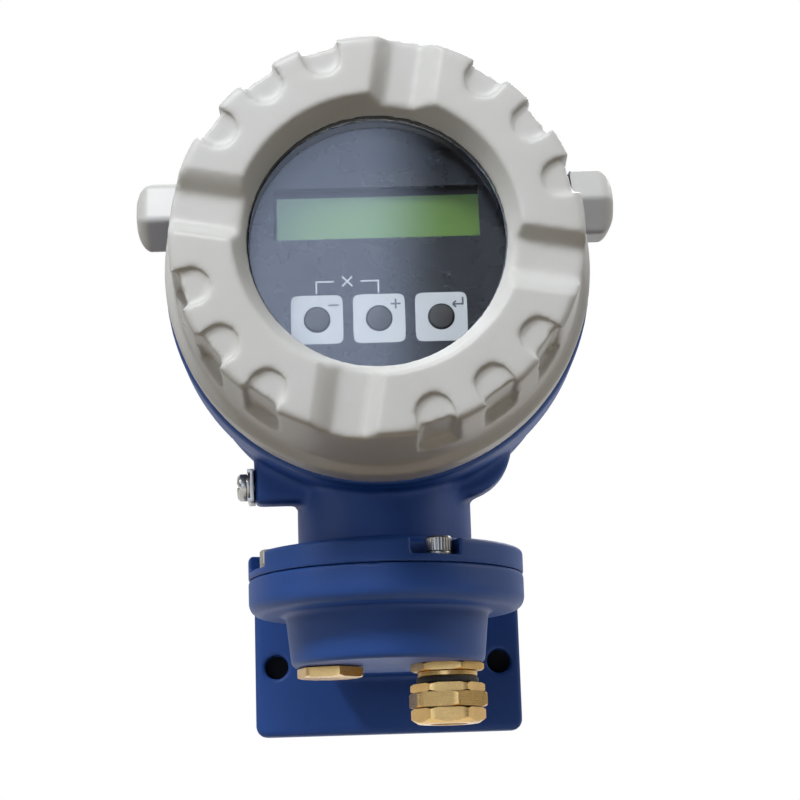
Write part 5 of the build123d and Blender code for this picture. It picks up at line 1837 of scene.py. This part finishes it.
    def bracket(self) -> None:
        """White line that joins the first two keys, with a cross in its gap."""
        foot = self.keys_z + self.square_height / 2 + self.bracket_clear
        top = foot + self.bracket_rise
        left, right = -self.key_pitch, 0.0
        middle = (left + right) / 2
        gap = self.bracket_gap
        half = self.line / 2
        self.bar("bracket_left_leg", (left, foot), (left, top + half), self.line, WHITE_INK, 1.0)
        self.bar("bracket_right_leg", (right, foot), (right, top + half), self.line, WHITE_INK, 1.0)
        self.bar("bracket_left_arm", (left + half, top), (middle - gap, top), self.line, WHITE_INK, 1.0)
        self.bar("bracket_right_arm", (middle + gap, top), (right - half, top), self.line, WHITE_INK, 1.0)
        self.mark(Symbol.CROSS, middle, top)

    def display(self) -> None:
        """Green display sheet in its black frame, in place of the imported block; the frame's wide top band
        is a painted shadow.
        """
        low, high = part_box("lcd_screen")
        sketch = MeshSketch("lcd_frame_block")
        inset_low = Vector((low.x + self.frame_left, 0, low.z + self.frame_edge))
        inset_high = Vector((high.x - self.frame_edge, 0, high.z - self.frame_top_shadow))
        lip = self.frame_depth
        outer = [(low.x, low.z), (high.x, low.z), (high.x, high.z), (low.x, high.z)]
        inner = [
            (inset_low.x, inset_low.z), (inset_high.x, inset_low.z),
            (inset_high.x, inset_high.z), (inset_low.x, inset_high.z),
        ]
        rings = [
            sketch.ring([(x, high.y, z) for x, z in outer]),
            sketch.ring([(x, low.y, z) for x, z in outer]),
            sketch.ring([(x, low.y, z) for x, z in inner]),
            sketch.ring([(x, low.y + lip, z) for x, z in inner]),
        ]
        sketch.stack(rings)
        sketch.cap(rings[0])
        sketch.cap(rings[-1])
        made = sketch.piece(Matrix.Identity(4), LCD_FRAME, Body.HEAD)
        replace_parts(made, "lcd_screen")
        dress_nodes(LCD_GREEN, "lcd_screen")
        sheet = MeshSketch("lcd_sheet")
        back = sheet.ring([(x, low.y + lip * 0.95, z) for x, z in inner])
        front = sheet.ring([(x, low.y + lip * 0.4, z) for x, z in inner])
        sheet.bridge(back, front)
        sheet.cap(back)
        sheet.cap(front)
        sheet.piece(Matrix.Identity(4), LCD_GREEN, Body.HEAD)


@dataclass
class ViewCamera:
    """Camera at the photograph's viewing angle."""

    lens: float = 89.44
    sensor: float = 36.0
    place: tuple = (-2.5 * MM, -762.3 * MM, -59.5 * MM)
    pitch: float = 12.061
    roll: float = 1.774
    yaw: float = 0.777

    def build(self) -> None:
        """Make the camera and use it."""
        pitch, roll, yaw = (math.radians(angle) for angle in (self.pitch, self.roll, self.yaw))
        level = Vector((math.cos(yaw), -math.sin(yaw), 0.0))
        rise = Vector((-math.sin(yaw) * math.sin(pitch), -math.cos(yaw) * math.sin(pitch), math.cos(pitch)))
        ahead = Vector((math.sin(yaw) * math.cos(pitch), math.cos(yaw) * math.cos(pitch), math.sin(pitch)))
        right = math.cos(roll) * level - math.sin(roll) * rise
        upward = math.sin(roll) * level + math.cos(roll) * rise
        turned = Matrix((right, upward, -ahead)).transposed().to_4x4()
        turned.translation = Vector(self.place)
        data = bpy.data.cameras.new("view_camera")
        data.lens = self.lens
        data.sensor_width = self.sensor
        data.clip_start = 0.01
        camera = bpy.data.objects.new("view_camera", data)
        camera.matrix_world = turned
        bpy.context.scene.collection.objects.link(camera)
        bpy.context.scene.camera = camera


@dataclass
class Lamp:
    """Rectangular studio lamp that looks at a point."""

    name: str
    azimuth: float
    elevation: float
    distance: float
    size: float
    power: float
    colour: tuple = (1.0, 1.0, 1.0)
    aim: tuple = (0.0, -0.1, 0.08)

    def build(self) -> None:
        """Place the lamp; azimuth 0 is in front, and positive turns to the right."""
        turn, lift = math.radians(self.azimuth), math.radians(self.elevation)
        away = Vector((math.sin(turn) * math.cos(lift), -math.cos(turn) * math.cos(lift), math.sin(lift)))
        data = bpy.data.lights.new(self.name, "AREA")
        data.size = self.size
        data.energy = self.power
        data.color = self.colour
        lamp = bpy.data.objects.new(self.name, data)
        lamp.location = Vector(self.aim) + away * self.distance
        lamp.rotation_euler = (-away).to_track_quat("-Z", "Y").to_euler()
        bpy.context.scene.collection.objects.link(lamp)


@dataclass
class Studio:
    """Pale floor, lamps and surroundings."""

    floor_z: float = -0.105
    floor_half: float = 3.0
    floor_pale: Colour = (0.86, 0.86, 0.85, 1.0)
    floor_bounce: Colour = (0.12, 0.085, 0.045, 1.0)
    sky_above: Colour = (0.045, 0.052, 0.065, 1.0)
    sky_below: Colour = (0.022, 0.017, 0.010, 1.0)
    pane_bright: Colour = (1.55, 1.85, 2.55, 1.0)
    pane_dark: Colour = (0.05, 0.05, 0.055, 1.0)
    behind: Colour = (0.8, 0.8, 0.8, 1.0)
    hole_x: float = 42.0 * MM
    # Size and gap of the dark discs behind the plate's holes: painted shade.
    hole_shade_disc: float = 6.5 * MM
    shade_disc_gap: float = 0.5 * MM
    lamps: tuple = (
        Lamp("key_lamp", -10.0, 41.0, 1.7, 0.34, 15.5, (0.985, 0.99, 1.0)),
        Lamp("left_lamp", -38.0, 45.0, 1.7, 0.34, 12.5, (0.97, 0.985, 1.0)),
        Lamp("side_lamp", -66.0, 16.0, 1.7, 0.8, 4.5, (0.97, 0.985, 1.0)),
        Lamp("back_lamp", 158.0, 42.0, 1.8, 0.9, 26.0),
        Lamp("right_lamp", 84.0, 24.0, 1.8, 0.9, 9.0),
        Lamp("low_lamp", 10.0, -38.0, 1.3, 0.5, 0.25, (1.0, 0.80, 0.50)),
    )

    def build(self) -> None:
        """Set the view transform, the world, the lamps and the floor."""
        bpy.context.scene.view_settings.view_transform = "Standard"
        self.world()
        for lamp in self.lamps:
            lamp.build()
        self.floor()
        self.hole_shade_discs()

    def world(self) -> None:
        """Cool light above, warm below; white to the camera; a pale pane to the left for gloss."""
        world = bpy.data.worlds.new("studio_world")
        bpy.context.scene.world = world
        world.use_nodes = True
        world.node_tree.nodes.clear()
        sheet = NodeSheet(world.node_tree)
        towards = sheet.node("SeparateXYZ", {0: sheet.node("TexCoord").outputs["Generated"]})
        side, ahead, up = towards.outputs
        ambient = sheet.blend(sheet.step(up, -0.35, 0.55), self.sky_below, self.sky_above)
        left = sheet.maths("MULTIPLY", sheet.step(side, 0.040, -0.004), sheet.step(side, -0.60, -0.35))
        above = sheet.maths("MULTIPLY", sheet.step(up, -0.08, 0.06), sheet.step(up, 0.62, 0.42))
        pane = sheet.blend(sheet.maths("MULTIPLY", left, above), self.pane_dark, self.pane_bright)
        behind = sheet.step(ahead, 0.0, 0.35)
        mirrored = sheet.blend(behind, pane, self.behind)
        path = sheet.node("LightPath").outputs
        polished = sheet.maths("MAXIMUM", path["Is Glossy Ray"], path["Is Transmission Ray"])
        seen = sheet.blend(polished, ambient, mirrored)
        seen = sheet.blend(path["Is Camera Ray"], seen, (1.0, 1.0, 1.0, 1.0))
        background = sheet.node("Background", {"Color": seen, "Strength": 1.0})
        sheet.node("OutputWorld", {"Surface": background.outputs[0]})

    def floor(self) -> None:
        """Large pale floor below the holder, which sends only a warm dim bounce upwards."""
        sketch = MeshSketch("studio_floor")
        half = self.floor_half
        corners = [(-half, -half), (half, -half), (half, half), (-half, half)]
        sketch.cap(sketch.ring([(x, y, self.floor_z) for x, y in corners]))
        data = bpy.data.meshes.new("studio_floor")
        sketch.mesh.to_mesh(data)
        sketch.mesh.free()
        material = bpy.data.materials.new("floor_paper")
        material.use_nodes = True
        sheet = NodeSheet(material.node_tree)
        shader = material.node_tree.nodes["Principled BSDF"]
        path = sheet.node("LightPath").outputs
        direct = sheet.maths("MAXIMUM", path["Is Camera Ray"], path["Is Glossy Ray"])
        direct = sheet.maths("MAXIMUM", direct, path["Is Transmission Ray"])
        grain = sheet.blend(sheet.noise(220.0, 3.0), self.floor_pale, (0.82, 0.82, 0.80, 1.0))
        sheet.feed(shader, "Base Color", sheet.blend(direct, self.floor_bounce, grain))
        shader.inputs["Roughness"].default_value = 0.9
        shader.inputs["Emission Color"].default_value = (1.0, 1.0, 1.0, 1.0)
        sheet.feed(shader, "Emission Strength", sheet.maths("MULTIPLY", direct, 0.22))
        data.materials.append(material)
        floor = bpy.data.objects.new("studio_floor", data)
        bpy.context.scene.collection.objects.link(floor)

    def hole_shade_discs(self) -> None:
        """Painted shade: dark discs behind the wall plate's holes, which make the holes look dark from the
        front and are clear from the back.
        """
        material = bpy.data.materials.new("hole_shade_paper")
        material.use_nodes = True
        sheet = NodeSheet(material.node_tree)
        shader = material.node_tree.nodes["Principled BSDF"]
        shader.inputs["Base Color"].default_value = rgb(16, 17, 22)
        shader.inputs["Roughness"].default_value = 0.9
        facing = sheet.node("NewGeometry").outputs["Backfacing"]
        sheet.feed(shader, "Alpha", sheet.maths("SUBTRACT", 1.0, facing))
        for side in (-1, 1):
            sketch = MeshSketch(f"hole_shade_disc_{'left' if side < 0 else 'right'}")
            sketch.cap(sketch.circle(self.hole_shade_disc, 0.0, 32))
            place = axis_place((side * self.hole_x, self.shade_disc_gap, 0.0), (0, -1, 0), (1, 0, 0))
            data = bpy.data.meshes.new(sketch.name)
            sketch.mesh.to_mesh(data)
            sketch.mesh.free()
            data.transform(place)
            data.materials.append(material)
            shade_disc = bpy.data.objects.new(sketch.name, data)
            bpy.context.scene.collection.objects.link(shade_disc)


def main() -> None:
    """Build the view, the sub-assemblies and the studio in order."""
    logging.basicConfig(level=logging.INFO, format="%(name)s: %(message)s")
    ViewCamera().build()
    FrontCover().build()
    RearCover().build()
    DrumHousing().build()
    SidePlug("left", -1, turn=-20.0).build()
    SidePlug("right", 1, turn=2.0).build()
    EarthTerminal().build()
    ClampRing().build()
    WallHolder().build()
    BlankingPlug().build()
    CableGland().build()
    DisplayUnit().build()
    Studio().build()


if __name__ == "__main__":
    main()
